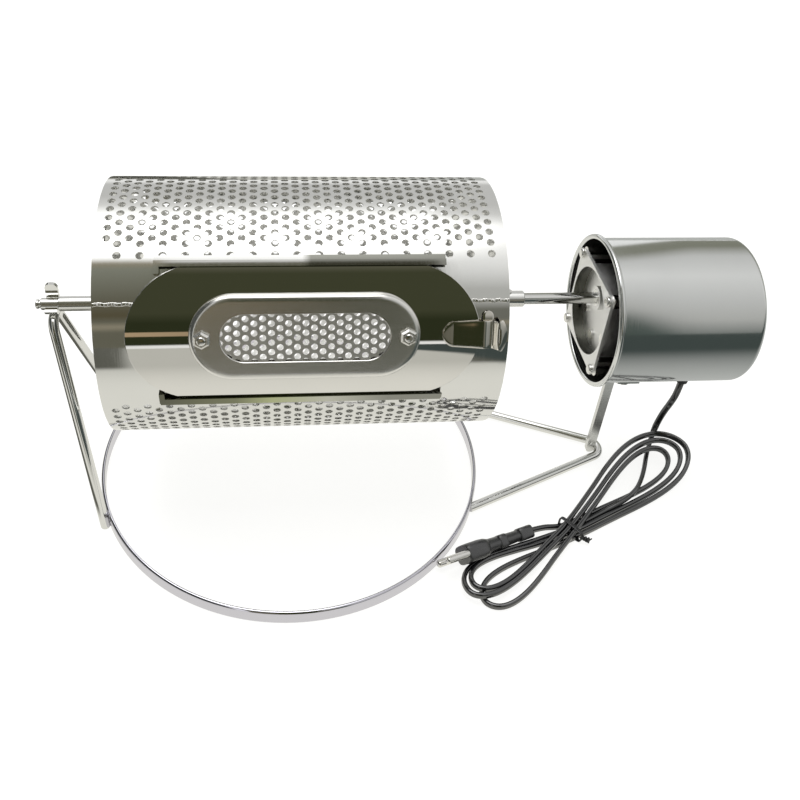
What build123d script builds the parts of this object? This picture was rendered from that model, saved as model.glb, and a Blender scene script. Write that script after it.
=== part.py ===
from build123d import *
import os
from math import acos, asin, atan2, cos, degrees, hypot, pi, radians, sin, sqrt, tan

# Electric drum coffee roaster: a perforated drum turns on a through axle above a stove burner.
# Millimetres and degrees. +X runs along the axle to the motor, +Z is up, the door faces -Y.
# The origin is on the table, in the middle of the roaster without its cord.

# Driving dimensions: drum
DRUM_DIAMETER = 125.0
DRUM_LENGTH = 182.0
SHEET = 0.8
AXIS_HEIGHT = 116.5
DOOR_ELEVATION = 22.9
FEED_LENGTH = 132.0
FEED_HEIGHT = 44.0
HOLE_DIAMETER = 4.5
HOLE_ROWS = 22
HOLE_STEP_X = 14.4
PLAIN_HALF_ANGLE = 36.0
RIM_MARGIN = 4.6
END_DISC_INSET = 4.0
VANE_LENGTH = 150.0
VANE_DEPTH = 11.0
VANE_FOOT_WIDTH = 7.0
VANE_COUNT = 3

# Driving dimensions: axle and what sits on it
AXLE_DIAMETER = 6.0
AXLE_OVERHANG = 39.3
AXLE_TIP_LENGTH = 1.7
AXLE_TIP_DIAMETER = 4.6
GROOVE_LENGTH = 0.8
GROOVE_DIAMETER = 3.6
SQUARE_ACROSS = 4.6
SQUARE_VISIBLE = 9.5
SPACER_DIAMETER = 7.3
HUB_DIAMETER = 8.5
HUB_LENGTH = 28.0
SET_SCREW_DIAMETER = 3.0
SET_SCREW_PROUD = 0.9
SET_SCREW_INSET = 8.0

# Driving dimensions: door, window and latch
DOOR_LENGTH = 155.0
DOOR_HEIGHT = 61.6
RAIL_LENGTH = 125.0
RAIL_LIP = 1.9
RAIL_FLANGE = 2.6
STOP_TAB_WIDTH = 2.4
STOP_TAB_REACH = 5.0
PLATE_LENGTH = 101.0
PLATE_HEIGHT = 38.0
PLATE_RISE = 2.4
PLATE_EDGE_RADIUS = 1.6
WINDOW_LENGTH = 74.2
WINDOW_HEIGHT = 21.4
MESH_SHEET = 0.5
MESH_HOLE = 3.0
MESH_PITCH = 4.3
STUD_SPACING = 89.5
STUD_DIAMETER = 3.8
STUD_COLLAR = 6.2
NUT_ACROSS = 7.0
NUT_HEIGHT = 2.8
LATCH_SHEET = 0.6
LATCH_WIDTH = 12.8
LATCH_ROOT = 17.0
LATCH_BRIDGE = 4.2
LATCH_LIP = 5.6
LATCH_LIP_RISE = 3.0

# Driving dimensions: stand
RING_DIAMETER = 215.0
STRIP_HEIGHT = 7.5
STRIP_THICKNESS = 2.0
RING_OFFSET = -4.7
ROD_DIAMETER = 5.0
ROD_SPREAD = 23.5
ROD_BEND_RADIUS = 7.5
SADDLE_WIDTH = 6.0
SADDLE_THICKNESS = 2.0
SADDLE_INSET = 7.6
SADDLE_BACK_HEIGHT = 9.5
SADDLE_FRONT_ANGLE = 15.0
POST_WIDTH = 5.0
POST_THICKNESS = 3.0
POST_INSET = 22.0
BRACKET_WIDTH = 12.0
BRACKET_THICKNESS = 1.5
BRACKET_HALF_ANGLE = 32.0
BRACKET_SCREW_ANGLE = 21.0

# Driving dimensions: motor unit
MOTOR_GAP = 62.4
MOTOR_DROP = 8.3
CUP_DIAMETER = 77.0
CUP_LENGTH = 77.6
CUP_CORNER = 8.0
RIM_BEAD = 2.9
FACE_PLATE_SIDE = 50.0
FACE_PLATE_CORNER = 5.0
FACE_PLATE_THICKNESS = 1.5
FACE_PLATE_PROUD = 2.0
PLATE_SCREW_SPACING = 44.0
STANDOFF_DIAMETER = 7.0
GEARBOX_DIAMETER = 50.0
GEARBOX_WALL = 1.6
GEARBOX_RECESS = 4.4
GEARBOX_LENGTH = 26.0
MOTOR_CAN_DIAMETER = 48.0
MOTOR_CAN_LENGTH = 32.0
BOSS_DIAMETER = 12.6
BOSS_HEIGHT = 3.0
SOCKET_DIAMETER = 9.2
SOCKET_DEPTH = 14.0
SCREW_DIAMETER = 3.0
SCREW_HEAD_DIAMETER = 5.6
SCREW_HEAD_HEIGHT = 1.8
GEARBOX_SCREW_CIRCLE = 33.0
GROMMET_LENGTH = 14.0
GROMMET_TOP_DIAMETER = 8.4
GROMMET_TIP_DIAMETER = 6.4
GROMMET_FLANGE = 2.0
GROMMET_NECK_DIAMETER = 7.0
WIRE_DIAMETER = 2.0
WIRE_SPACING = 3.0

# Driving dimensions: cord
CORD_DIAMETER = 3.8
HANK_HEIGHT = 9.5
HANK_ROUNDING = 2.5
TIE_WIDTH = 5.0
TIE_THICKNESS = 1.2
PLUG_LENGTH = 15.0
PLUG_WIDTH = 15.0
PLUG_THICKNESS = 10.0
PLUG_ROUNDING = 4.2
PLUG_ROLL = 58.6
PLUG_PITCH = 5.5
PLUG_AXIS_HEIGHT = 9.0
RELIEF_LENGTH = 29.0
RELIEF_ROOT = 7.4
RELIEF_TIP = 5.4
RIB_SIDE = 7.0
RIB_ROUNDING = 1.6
MIDDLE_RIB_LENGTH = 5.0
MIDDLE_RIB_INSET = 7.5
END_RIB_LENGTH = 8.0
PIN_DIAMETER = 4.0
PIN_LENGTH = 13.0
PIN_SPACING = 11.0

# Clearances
RUNNING_CLEARANCE = 0.08
FIT_CLEARANCE = 0.05
SLIDE_CLEARANCE = 0.3
SCREW_CLEARANCE = 0.1
AXIAL_CLEARANCE = 0.5
FLOOR_CLEARANCE = 0.6
WELD_SINK = 0.3
WELD_GAP = 0.3
TOOL_MARGIN = 20.0

# Places along the axle, worked out from the sizes
LEFT_REACH = DRUM_LENGTH / 2 + AXLE_OVERHANG
RIGHT_REACH = DRUM_LENGTH / 2 + MOTOR_GAP + CUP_LENGTH
DRUM_X = (LEFT_REACH - RIGHT_REACH) / 2
DRUM_LEFT = -DRUM_LENGTH / 2
DRUM_RIGHT = DRUM_LENGTH / 2
AXLE_LEFT = DRUM_LEFT - AXLE_OVERHANG
SADDLE_X = AXLE_LEFT + SADDLE_INSET
RIM_X = DRUM_RIGHT + MOTOR_GAP
CUP_END_X = RIM_X + CUP_LENGTH
PLATE_FRONT_X = RIM_X - FACE_PLATE_PROUD
PLATE_BACK_X = PLATE_FRONT_X + FACE_PLATE_THICKNESS
RECESS_X = PLATE_BACK_X + GEARBOX_RECESS
BOSS_X = RECESS_X - BOSS_HEIGHT
SOCKET_END_X = BOSS_X + SOCKET_DEPTH
GEARBOX_BACK_X = PLATE_BACK_X + GEARBOX_LENGTH
POST_X = RIM_X + POST_INSET
GROMMET_X = CUP_END_X - CUP_CORNER - GROMMET_TOP_DIAMETER / 2 - FIT_CLEARANCE
MOTOR_HEIGHT = AXIS_HEIGHT - MOTOR_DROP

# Radii around the drum axis
DRUM_R = DRUM_DIAMETER / 2
DRUM_BORE_R = DRUM_R - SHEET
DOOR_IN_R = DRUM_R + SLIDE_CLEARANCE
DOOR_OUT_R = DOOR_IN_R + SHEET
LIP_IN_R = DOOR_OUT_R + SLIDE_CLEARANCE
LIP_OUT_R = LIP_IN_R + SHEET
PLATE_TOP = DOOR_OUT_R + PLATE_RISE
PLATE_UNDER = PLATE_TOP - SHEET
MESH_UNDER = PLATE_UNDER - MESH_SHEET
DOOR_EDGE_ANGLE = degrees(asin(DOOR_HEIGHT / 2 / DOOR_IN_R))
MM_TO_DEG = degrees(1 / DRUM_R)
CUP_R = CUP_DIAMETER / 2
CUP_BORE_R = CUP_R - SHEET
RING_R = RING_DIAMETER / 2
ROD_R = ROD_DIAMETER / 2

# Frames: the drum's own frame has the door on top, the motor's frame is on the motor's axis
DRUM_FRAME = Pos(DRUM_X, 0, AXIS_HEIGHT) * Rot(90 - DOOR_ELEVATION, 0, 0)
AXLE_FRAME = Pos(DRUM_X, 0, AXIS_HEIGHT)
MOTOR_FRAME = Pos(DRUM_X, 0, MOTOR_HEIGHT)
RING_FRAME = Pos(DRUM_X + RING_OFFSET, 0, 0)

# The cord, in the roaster's frame: the lead drops from under the cup on to the hank,
# which is a bow of two lobes with a waist, and the plug lies along its back edge
LEAD_ROUTE = [
    (DRUM_X + GROMMET_X, 0, MOTOR_HEIGHT - CUP_R - GROMMET_LENGTH),
    (DRUM_X + GROMMET_X, 0, 45.5),
    (169.0, 3.2, 34.0),
    (169.8, 6.6, 23.0),
    (169.4, 6.8, 13.6),
    (167.4, 3.6, 6.8),
    (163.6, -2.6, 3.0),
]
RIGHT_LOBE_CENTRE = (163.0, -12.0)
RIGHT_LOBE_RADIUS = 20.0
WAIST_CENTRE = (95.7, -61.0)
WAIST_RADIUS = 7.0
LEFT_LOBE_CENTRE = (46.5, -90.5)
LEFT_LOBE_RADIUS = 17.0
PLUG_FACE = (31.8, -78.8)
PLUG_HEADING = 22.5


def rod_x(x0, x1, diameter):
    """Round bar along X from x0 to x1, on the axis of its frame."""
    return Pos((x0 + x1) / 2, 0, 0) * Rot(0, 90, 0) * Cylinder(diameter / 2, x1 - x0)


def tube_x(x0, x1, r_in, r_out):
    """Tube along X between two radii."""
    return rod_x(x0, x1, 2 * r_out) - rod_x(x0 - 1, x1 + 1, 2 * r_in)


def polar(radius, angle):
    """Point of the YZ plane at an angle from +Z towards +Y."""
    return (radius * sin(radians(angle)), radius * cos(radians(angle)))


def sector(r_in, r_out, a0, a1, x0, x1):
    """Curved plate between two radii and two angles from +Z, running from x0 to x1."""
    mid = (a0 + a1) / 2
    outline = [
        ThreePointArc(polar(r_out, a0), polar(r_out, mid), polar(r_out, a1)),
        Line(polar(r_out, a1), polar(r_in, a1)),
        ThreePointArc(polar(r_in, a1), polar(r_in, mid), polar(r_in, a0)),
        Line(polar(r_in, a0), polar(r_out, a0)),
    ]
    face = Plane.YZ.offset(x0) * make_face(outline)
    return extrude(face, x1 - x0, dir=(1, 0, 0))


def stadium(length, height, z0, z1):
    """Upright block with a stadium outline, round at both ends."""
    return extrude(Pos(0, 0, z0) * SlotOverall(length, height), z1 - z0)


def upright(diameter, z0, z1):
    """Round bar along Z from z0 to z1."""
    return Pos(0, 0, (z0 + z1) / 2) * Cylinder(diameter / 2, z1 - z0)


def hairpin(half_width, depth, overrun):
    """Line of a rod bent to a V: apex at the origin, arms going down -Y to the two feet and past them."""
    centre = (0, -ROD_BEND_RADIUS)
    foot = (half_width, -depth)
    reach = hypot(foot[0] - centre[0], foot[1] - centre[1])
    turn = atan2(foot[1] - centre[1], foot[0] - centre[0]) + acos(ROD_BEND_RADIUS / reach)
    tangent = (ROD_BEND_RADIUS * cos(turn), centre[1] + ROD_BEND_RADIUS * sin(turn))
    arm = hypot(foot[0] - tangent[0], foot[1] - tangent[1])
    end = tuple(f + (f - t) / arm * overrun for f, t in zip(foot, tangent))
    return (
        Line((-end[0], end[1]), (-tangent[0], tangent[1]))
        + ThreePointArc((-tangent[0], tangent[1]), (0, 0), tangent)
        + Line(tangent, end)
    )


def swept_rod(path, diameter):
    """Round rod along a path."""
    section = Plane(origin=path @ 0, z_dir=path % 0) * Circle(diameter / 2)
    return sweep(section, path=path)


# Stand

def make_base_ring():
    outer = Cylinder(RING_R, STRIP_HEIGHT, align=(Align.CENTER, Align.CENTER, Align.MIN))
    inner = Cylinder(RING_R - STRIP_THICKNESS, 3 * STRIP_HEIGHT)
    return RING_FRAME * (outer - inner)


def make_axle_saddle():
    """J-shaped strip: tall back arm, half-round bed under the axle, low front lip."""
    r_in = AXLE_DIAMETER / 2 + RUNNING_CLEARANCE
    r_out = r_in + SADDLE_THICKNESS
    x0 = SADDLE_X - SADDLE_WIDTH / 2
    x1 = SADDLE_X + SADDLE_WIDTH / 2
    bed = sector(r_in, r_out, 90, 270 - SADDLE_FRONT_ANGLE, x0, x1)
    arm = Pos(SADDLE_X, r_in + SADDLE_THICKNESS / 2, SADDLE_BACK_HEIGHT / 2) * Box(
        SADDLE_WIDTH, SADDLE_THICKNESS, SADDLE_BACK_HEIGHT
    )
    corners = arm.edges().filter_by(Axis.Y).group_by(Axis.Z)[-1]
    arm = fillet(corners, SADDLE_WIDTH * 0.4)
    return AXLE_FRAME * (bed + arm)


def saddle_underside():
    return AXIS_HEIGHT - AXLE_DIAMETER / 2 - RUNNING_CLEARANCE - SADDLE_THICKNESS


def make_leg_rod(ring, saddle):
    """Inverted V from under the saddle to the outer face of the ring, trimmed where it is welded."""
    apex = Vector(DRUM_X + SADDLE_X, 0, saddle_underside() - ROD_R + WELD_SINK)
    foot_radius = RING_R + ROD_R - WELD_SINK
    foot_x = DRUM_X + RING_OFFSET - foot_radius * cos(radians(ROD_SPREAD))
    foot_y = foot_radius * sin(radians(ROD_SPREAD))
    up = apex - Vector(foot_x, 0, 0)
    plane = Plane(origin=apex, x_dir=(0, 1, 0), z_dir=Vector(0, 1, 0).cross(up))
    rod = swept_rod(plane * hairpin(foot_y, up.length, ROD_DIAMETER), ROD_DIAMETER)
    below = Pos(DRUM_X, 0, FLOOR_CLEARANCE - TOOL_MARGIN) * Box(
        2 * RING_DIAMETER, 2 * RING_DIAMETER, 2 * TOOL_MARGIN
    )
    return rod - below - ring - saddle


def make_foot_rod():
    """V that lies on the table, from the ring's outer face to the foot of the motor post."""
    apex = Vector(DRUM_X + POST_X + POST_WIDTH / 2 + ROD_R, 0, ROD_R)
    foot_x = DRUM_X + RING_OFFSET + RING_R * cos(radians(ROD_SPREAD))
    foot_y = RING_R * sin(radians(ROD_SPREAD))
    plane = Plane(origin=apex, x_dir=(0, 1, 0), z_dir=(0, 0, -1))
    rod = swept_rod(plane * hairpin(foot_y, apex.X - foot_x, ROD_DIAMETER), ROD_DIAMETER)
    return rod - RING_FRAME * Cylinder(RING_R, 4 * STRIP_HEIGHT)


def make_motor_post(foot_rod):
    """Flat strip with a rounded foot, from the apex of the foot rod up to the bracket."""
    top = MOTOR_HEIGHT - CUP_R + TOOL_MARGIN / 4
    height = top - FLOOR_CLEARANCE
    strip = Pos(DRUM_X + POST_X, 0, FLOOR_CLEARANCE + height / 2) * Box(
        POST_WIDTH, POST_THICKNESS, height
    )
    foot = strip.edges().filter_by(Axis.Y).group_by(Axis.Z)[0]
    strip = fillet(foot, POST_WIDTH * 0.45)
    seat = MOTOR_FRAME * rod_x(RIM_X, CUP_END_X, 2 * (CUP_R + BRACKET_THICKNESS))
    return strip - seat - foot_rod


def bracket_screw_frames():
    """Radial frames of the two bracket screws, +Z pointing out of the cup's underside."""
    return [
        MOTOR_FRAME * Pos(POST_X, 0, 0) * Rot(180 + side * BRACKET_SCREW_ANGLE, 0, 0)
        for side in (-1, 1)
    ]


def bracket_screw_holes():
    bore = upright(SCREW_DIAMETER + 2 * SCREW_CLEARANCE, CUP_BORE_R - 5, CUP_R + 5)
    return [frame * bore for frame in bracket_screw_frames()]


def make_motor_bracket():
    band = sector(
        CUP_R, CUP_R + BRACKET_THICKNESS, 180 - BRACKET_HALF_ANGLE, 180 + BRACKET_HALF_ANGLE,
        POST_X - BRACKET_WIDTH / 2, POST_X + BRACKET_WIDTH / 2,
    )
    return MOTOR_FRAME * band - bracket_screw_holes()


def make_bracket_screws():
    seat = CUP_R + BRACKET_THICKNESS
    tip = CUP_BORE_R - NUT_HEIGHT - SHEET
    seat_cut = MOTOR_FRAME * rod_x(RIM_X, CUP_END_X, 2 * seat)
    heads = [frame * upright(SCREW_HEAD_DIAMETER, seat - 1, seat + SCREW_HEAD_HEIGHT) - seat_cut
             for frame in bracket_screw_frames()]
    shanks = [frame * upright(SCREW_DIAMETER, tip, seat + SCREW_HEAD_HEIGHT / 2)
              for frame in bracket_screw_frames()]
    return [head + shank for head, shank in zip(heads, shanks)]


def make_bracket_nuts():
    """Hexagon nuts inside the cup, flat on the wall's inner crown."""
    seat = sqrt(CUP_BORE_R**2 - (NUT_ACROSS / 2) ** 2) - FIT_CLEARANCE
    hexagon = RegularPolygon(NUT_ACROSS / 2, 6, major_radius=False) - Circle(
        SCREW_DIAMETER / 2 + FIT_CLEARANCE
    )
    nut = extrude(Pos(0, 0, seat - NUT_HEIGHT) * hexagon, NUT_HEIGHT)
    return [frame * nut & MOTOR_FRAME * rod_x(RIM_X, CUP_END_X, 2 * CUP_BORE_R)
            for frame in bracket_screw_frames()]


# Motor unit

def cup_cavity():
    """Space inside the cup, round at its closed end."""
    core = rod_x(RIM_X - 1, CUP_END_X - SHEET, 2 * CUP_BORE_R)
    end = core.edges().filter_by(GeomType.CIRCLE).sort_by(Axis.X)[-1]
    return fillet(end, CUP_CORNER - SHEET)


def grommet_frame():
    return MOTOR_FRAME * Pos(GROMMET_X, 0, 0) * Rot(180, 0, 0)


def make_motor_cup():
    bead_r = RIM_BEAD / 2
    body = rod_x(RIM_X + bead_r, CUP_END_X, 2 * CUP_R)
    end = body.edges().filter_by(GeomType.CIRCLE).sort_by(Axis.X)[-1]
    body = fillet(end, CUP_CORNER)
    bead_centre = (RIM_X + bead_r, CUP_BORE_R + bead_r)
    bead = revolve(Plane.XY * Pos(*bead_centre) * Circle(bead_r), Axis.X)
    cup = (body + bead) - cup_cavity()
    neck = grommet_frame() * upright(
        GROMMET_NECK_DIAMETER + 2 * FIT_CLEARANCE, CUP_BORE_R - 5, CUP_R + 5
    )
    return MOTOR_FRAME * cup - bracket_screw_holes() - neck


def corner_points():
    half = PLATE_SCREW_SPACING / 2
    return [(y, z) for y in (-half, half) for z in (-half, half)]


def make_standoff_posts():
    """Four posts from the cup's end wall to the face plate, each with a screw hole."""
    posts = []
    for y, z in corner_points():
        post = Pos(0, y, z) * rod_x(PLATE_BACK_X, CUP_END_X, STANDOFF_DIAMETER)
        hole = Pos(0, y, z) * rod_x(
            PLATE_BACK_X - 1, PLATE_BACK_X + 4 * SCREW_DIAMETER, SCREW_DIAMETER + 2 * SCREW_CLEARANCE
        )
        posts.append(MOTOR_FRAME * ((post & cup_cavity_from_plate()) - hole))
    return posts


def cup_cavity_from_plate():
    """The cavity, carried forward to the back of the face plate."""
    return cup_cavity() + rod_x(PLATE_BACK_X, RIM_X, 2 * CUP_BORE_R)


def make_motor_face_plate():
    face = RectangleRounded(FACE_PLATE_SIDE, FACE_PLATE_SIDE, FACE_PLATE_CORNER)
    face -= Circle(GEARBOX_DIAMETER / 2 - GEARBOX_WALL)
    for y, z in corner_points():
        face -= Pos(y, z) * Circle(SCREW_DIAMETER / 2 + SCREW_CLEARANCE)
    plate = extrude(Plane.YZ.offset(PLATE_FRONT_X) * face, FACE_PLATE_THICKNESS, dir=(1, 0, 0))
    return MOTOR_FRAME * plate


def make_plate_screws():
    head = rod_x(PLATE_FRONT_X - SCREW_HEAD_HEIGHT, PLATE_FRONT_X, SCREW_HEAD_DIAMETER)
    rim = head.edges().filter_by(GeomType.CIRCLE).sort_by(Axis.X)[0]
    head = fillet(rim, SCREW_HEAD_HEIGHT * 0.6)
    shank = rod_x(PLATE_FRONT_X - 1, PLATE_BACK_X + 3 * SCREW_DIAMETER, SCREW_DIAMETER)
    return [MOTOR_FRAME * Pos(0, y, z) * (head + shank) for y, z in corner_points()]


def gearbox_screw_points():
    """Three points on the recessed face, evenly spaced and clear of the boss above."""
    radius = GEARBOX_SCREW_CIRCLE / 2
    return [polar(radius, angle) for angle in (120, 180, 240)]


def make_gearbox_case():
    """Round case whose front face lies in a recess, with a boss around the output shaft."""
    case = rod_x(PLATE_BACK_X, GEARBOX_BACK_X, GEARBOX_DIAMETER)
    case -= rod_x(PLATE_BACK_X - 1, RECESS_X, GEARBOX_DIAMETER - 2 * GEARBOX_WALL)
    case += Pos(0, 0, MOTOR_DROP) * rod_x(BOSS_X, RECESS_X + 1, BOSS_DIAMETER)
    case -= Pos(0, 0, MOTOR_DROP) * rod_x(
        BOSS_X - 1, SOCKET_END_X + AXIAL_CLEARANCE, SOCKET_DIAMETER + 2 * RUNNING_CLEARANCE
    )
    for y, z in gearbox_screw_points():
        case -= Pos(0, y, z) * rod_x(
            RECESS_X - 1, RECESS_X + 2 * SCREW_DIAMETER, SCREW_DIAMETER + 2 * FIT_CLEARANCE
        )
    return MOTOR_FRAME * case


def make_gearbox_screws():
    head = rod_x(RECESS_X - SCREW_HEAD_HEIGHT * 0.6, RECESS_X, SCREW_HEAD_DIAMETER)
    shank = rod_x(RECESS_X - 1, RECESS_X + 2 * SCREW_DIAMETER - 1, SCREW_DIAMETER)
    return [MOTOR_FRAME * Pos(0, y, z) * (head + shank) for y, z in gearbox_screw_points()]


def make_motor_can():
    can = rod_x(GEARBOX_BACK_X, GEARBOX_BACK_X + MOTOR_CAN_LENGTH, MOTOR_CAN_DIAMETER)
    back = can.edges().filter_by(GeomType.CIRCLE).sort_by(Axis.X)[-1]
    return MOTOR_FRAME * fillet(back, 3.0)


def make_cord_grommet():
    """Rubber bush: flange inside the cup, neck through the wall, tapered sleeve below."""
    flange = upright(GROMMET_TOP_DIAMETER, CUP_BORE_R - GROMMET_FLANGE, CUP_R)
    flange &= Pos(-GROMMET_X, 0, 0) * rod_x(RIM_X, CUP_END_X, 2 * CUP_BORE_R)
    neck = upright(GROMMET_NECK_DIAMETER, CUP_BORE_R - GROMMET_FLANGE, CUP_R + 1)
    sleeve = Pos(0, 0, CUP_R - 1) * Cone(
        GROMMET_TOP_DIAMETER / 2, GROMMET_TIP_DIAMETER / 2, GROMMET_LENGTH + 1,
        align=(Align.CENTER, Align.CENTER, Align.MIN),
    )
    sleeve -= Pos(-GROMMET_X, 0, 0) * rod_x(RIM_X, CUP_END_X, 2 * CUP_R)
    return grommet_frame() * (flange + neck + sleeve)


def make_motor_wires():
    """Two insulated wires from the grommet up to the motor can."""
    top = sqrt((MOTOR_CAN_DIAMETER / 2) ** 2 - (WIRE_SPACING / 2 + WIRE_DIAMETER) ** 2) - 2
    can = rod_x(GEARBOX_BACK_X, CUP_END_X, MOTOR_CAN_DIAMETER)
    wire_x = GEARBOX_BACK_X + MOTOR_CAN_LENGTH - 5
    wires = []
    for side in (-1, 1):
        y = side * WIRE_SPACING / 2
        low = (GROMMET_X, y, -(CUP_BORE_R - GROMMET_FLANGE))
        knee = (GROMMET_X, y, -(MOTOR_CAN_DIAMETER / 2 + 4))
        high = (wire_x, y, -top)
        path = FilletPolyline(low, knee, high, radius=2.5)
        wires.append(MOTOR_FRAME * (swept_rod(path, WIRE_DIAMETER) - can))
    return wires


# Drum

def make_axle():
    """Through axle with a grooved left tip and a square right end in the output socket."""
    groove_x = AXLE_LEFT + AXLE_TIP_LENGTH
    axle = rod_x(groove_x + GROOVE_LENGTH, SOCKET_END_X, AXLE_DIAMETER)
    axle += rod_x(AXLE_LEFT, groove_x, AXLE_TIP_DIAMETER)
    axle += rod_x(groove_x - 0.5, groove_x + GROOVE_LENGTH + 0.5, GROOVE_DIAMETER)
    square_x = BOSS_X - SQUARE_VISIBLE
    length = SOCKET_END_X - square_x + 1
    shoulder = Pos(square_x + length / 2, 0, 0) * (
        Box(length, 2 * AXLE_DIAMETER, 2 * AXLE_DIAMETER)
        - Box(length, SQUARE_ACROSS, SQUARE_ACROSS)
    )
    return AXLE_FRAME * (axle - shoulder)


def make_output_socket():
    """Sleeve turned by the gears, with a square hole for the axle."""
    hole = SQUARE_ACROSS + 2 * FIT_CLEARANCE
    socket = rod_x(BOSS_X, SOCKET_END_X, SOCKET_DIAMETER)
    length = 3 * SOCKET_DEPTH
    return AXLE_FRAME * (socket - Pos(BOSS_X, 0, 0) * Box(length, hole, hole))


def disc_faces():
    """Outer faces of the two end discs."""
    return DRUM_LEFT + END_DISC_INSET, DRUM_RIGHT - END_DISC_INSET


def make_spacer_sleeve():
    left = SADDLE_X + SADDLE_WIDTH / 2 + AXIAL_CLEARANCE
    sleeve = tube_x(left, disc_faces()[0], AXLE_DIAMETER / 2 + FIT_CLEARANCE, SPACER_DIAMETER / 2)
    return AXLE_FRAME * sleeve


def set_screw_x():
    return disc_faces()[1] + HUB_LENGTH - SET_SCREW_INSET


def make_hub_sleeve():
    right = disc_faces()[1]
    hub = tube_x(right, right + HUB_LENGTH, AXLE_DIAMETER / 2 + FIT_CLEARANCE, HUB_DIAMETER / 2)
    bore = Pos(set_screw_x(), 0, 0) * upright(
        SET_SCREW_DIAMETER + 2 * FIT_CLEARANCE, AXLE_DIAMETER / 4, HUB_DIAMETER
    )
    return AXLE_FRAME * (hub - bore)


def make_set_screw():
    screw = upright(
        SET_SCREW_DIAMETER, AXLE_DIAMETER / 2 + FIT_CLEARANCE, HUB_DIAMETER / 2 + SET_SCREW_PROUD
    )
    return AXLE_FRAME * Pos(set_screw_x(), 0, 0) * screw


def drum_hole_places():
    """Staggered rows around the drum, leaving the plain band that the door slides on."""
    usable = DRUM_LENGTH - 2 * RIM_MARGIN - HOLE_DIAMETER
    columns = int(usable / HOLE_STEP_X)
    span = 360 - 2 * PLAIN_HALF_ANGLE
    places = []
    for row in range(HOLE_ROWS):
        angle = PLAIN_HALF_ANGLE + span * row / (HOLE_ROWS - 1)
        count = columns + 1 - row % 2
        for column in range(count):
            places.append(((column - (count - 1) / 2) * HOLE_STEP_X, angle))
    return places


def make_drum_shell():
    shell = tube_x(DRUM_LEFT, DRUM_RIGHT, DRUM_BORE_R, DRUM_R)
    shell -= stadium(FEED_LENGTH, FEED_HEIGHT, 0, DRUM_DIAMETER)
    punch = upright(HOLE_DIAMETER, DRUM_BORE_R - 2, DRUM_R + 2)
    holes = [Pos(x, 0, 0) * Rot(-angle, 0, 0) * punch for x, angle in drum_hole_places()]
    return DRUM_FRAME * (shell - holes)


def make_end_disc(side):
    """Disc with a rim flange turned outwards, bored for the axle."""
    outer = disc_faces()[0 if side < 0 else 1]
    disc = tube_x(min(outer, outer - side * SHEET), max(outer, outer - side * SHEET),
                  AXLE_DIAMETER / 2 + FIT_CLEARANCE, DRUM_BORE_R)
    edge = side * DRUM_LENGTH / 2
    root = outer - side * SHEET
    flange = tube_x(min(edge, root), max(edge, root), DRUM_BORE_R - SHEET, DRUM_BORE_R)
    return AXLE_FRAME * (disc + flange)


def make_rail(side):
    """Folded strip beside the door: flange on the drum, riser, lip over the door's edge, stop tab."""
    gap = SLIDE_CLEARANCE * MM_TO_DEG
    riser = DOOR_EDGE_ANGLE + gap
    riser_out = riser + SHEET * MM_TO_DEG
    lip = riser - RAIL_LIP * MM_TO_DEG
    flange_out = riser_out + RAIL_FLANGE * MM_TO_DEG
    left = -RAIL_LENGTH / 2
    right = RAIL_LENGTH / 2
    tab_x = stop_tab_x()
    tab_tip = riser - STOP_TAB_REACH * MM_TO_DEG

    def piece(r_in, r_out, a0, a1, x0, x1):
        low, high = sorted((side * a0, side * a1))
        return sector(r_in, r_out, low, high, x0, x1)

    return DRUM_FRAME * (
        piece(DRUM_R, DRUM_R + SHEET, riser, flange_out, tab_x - STOP_TAB_WIDTH, right)
        + piece(DRUM_R, LIP_OUT_R, riser, riser_out, tab_x - STOP_TAB_WIDTH, right)
        + piece(LIP_IN_R, LIP_OUT_R, lip, riser_out, left, right)
        + piece(DRUM_R, LIP_OUT_R, tab_tip, riser_out, tab_x - STOP_TAB_WIDTH, tab_x)
    )


def stop_tab_x():
    """Right face of the stop tabs, just clear of the door's round left end."""
    tip_angle = DOOR_EDGE_ANGLE + (SLIDE_CLEARANCE - STOP_TAB_REACH) * MM_TO_DEG
    y = DOOR_IN_R * sin(radians(tip_angle))
    end_radius = DOOR_HEIGHT / 2
    bulge = sqrt(end_radius**2 - y**2)
    return -(DOOR_LENGTH / 2 - end_radius + bulge + SLIDE_CLEARANCE)


def make_mixing_vane(number):
    """Angle strip welded inside the drum: a foot along the wall and a blade towards the axle."""
    angle = 360 * number / (VANE_COUNT + 1)
    half = VANE_LENGTH / 2
    wall = DRUM_BORE_R - WELD_GAP
    foot = sector(wall - SHEET, wall, angle, angle + VANE_FOOT_WIDTH * MM_TO_DEG, -half, half)
    blade = sector(wall - VANE_DEPTH, wall, angle, angle + SHEET * MM_TO_DEG, -half, half)
    return DRUM_FRAME * (foot + blade)


# Door

def make_door_panel():
    """Curved panel with round ends and its own window."""
    band = tube_x(-DOOR_LENGTH, DOOR_LENGTH, DOOR_IN_R, DOOR_OUT_R)
    panel = band & stadium(DOOR_LENGTH, DOOR_HEIGHT, 0, 2 * DRUM_R)
    panel -= stadium(WINDOW_LENGTH, WINDOW_HEIGHT, 0, 2 * DRUM_R)
    return DRUM_FRAME * panel


def door_cylinder():
    return rod_x(-DOOR_LENGTH, DOOR_LENGTH, 2 * DOOR_OUT_R)


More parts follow.
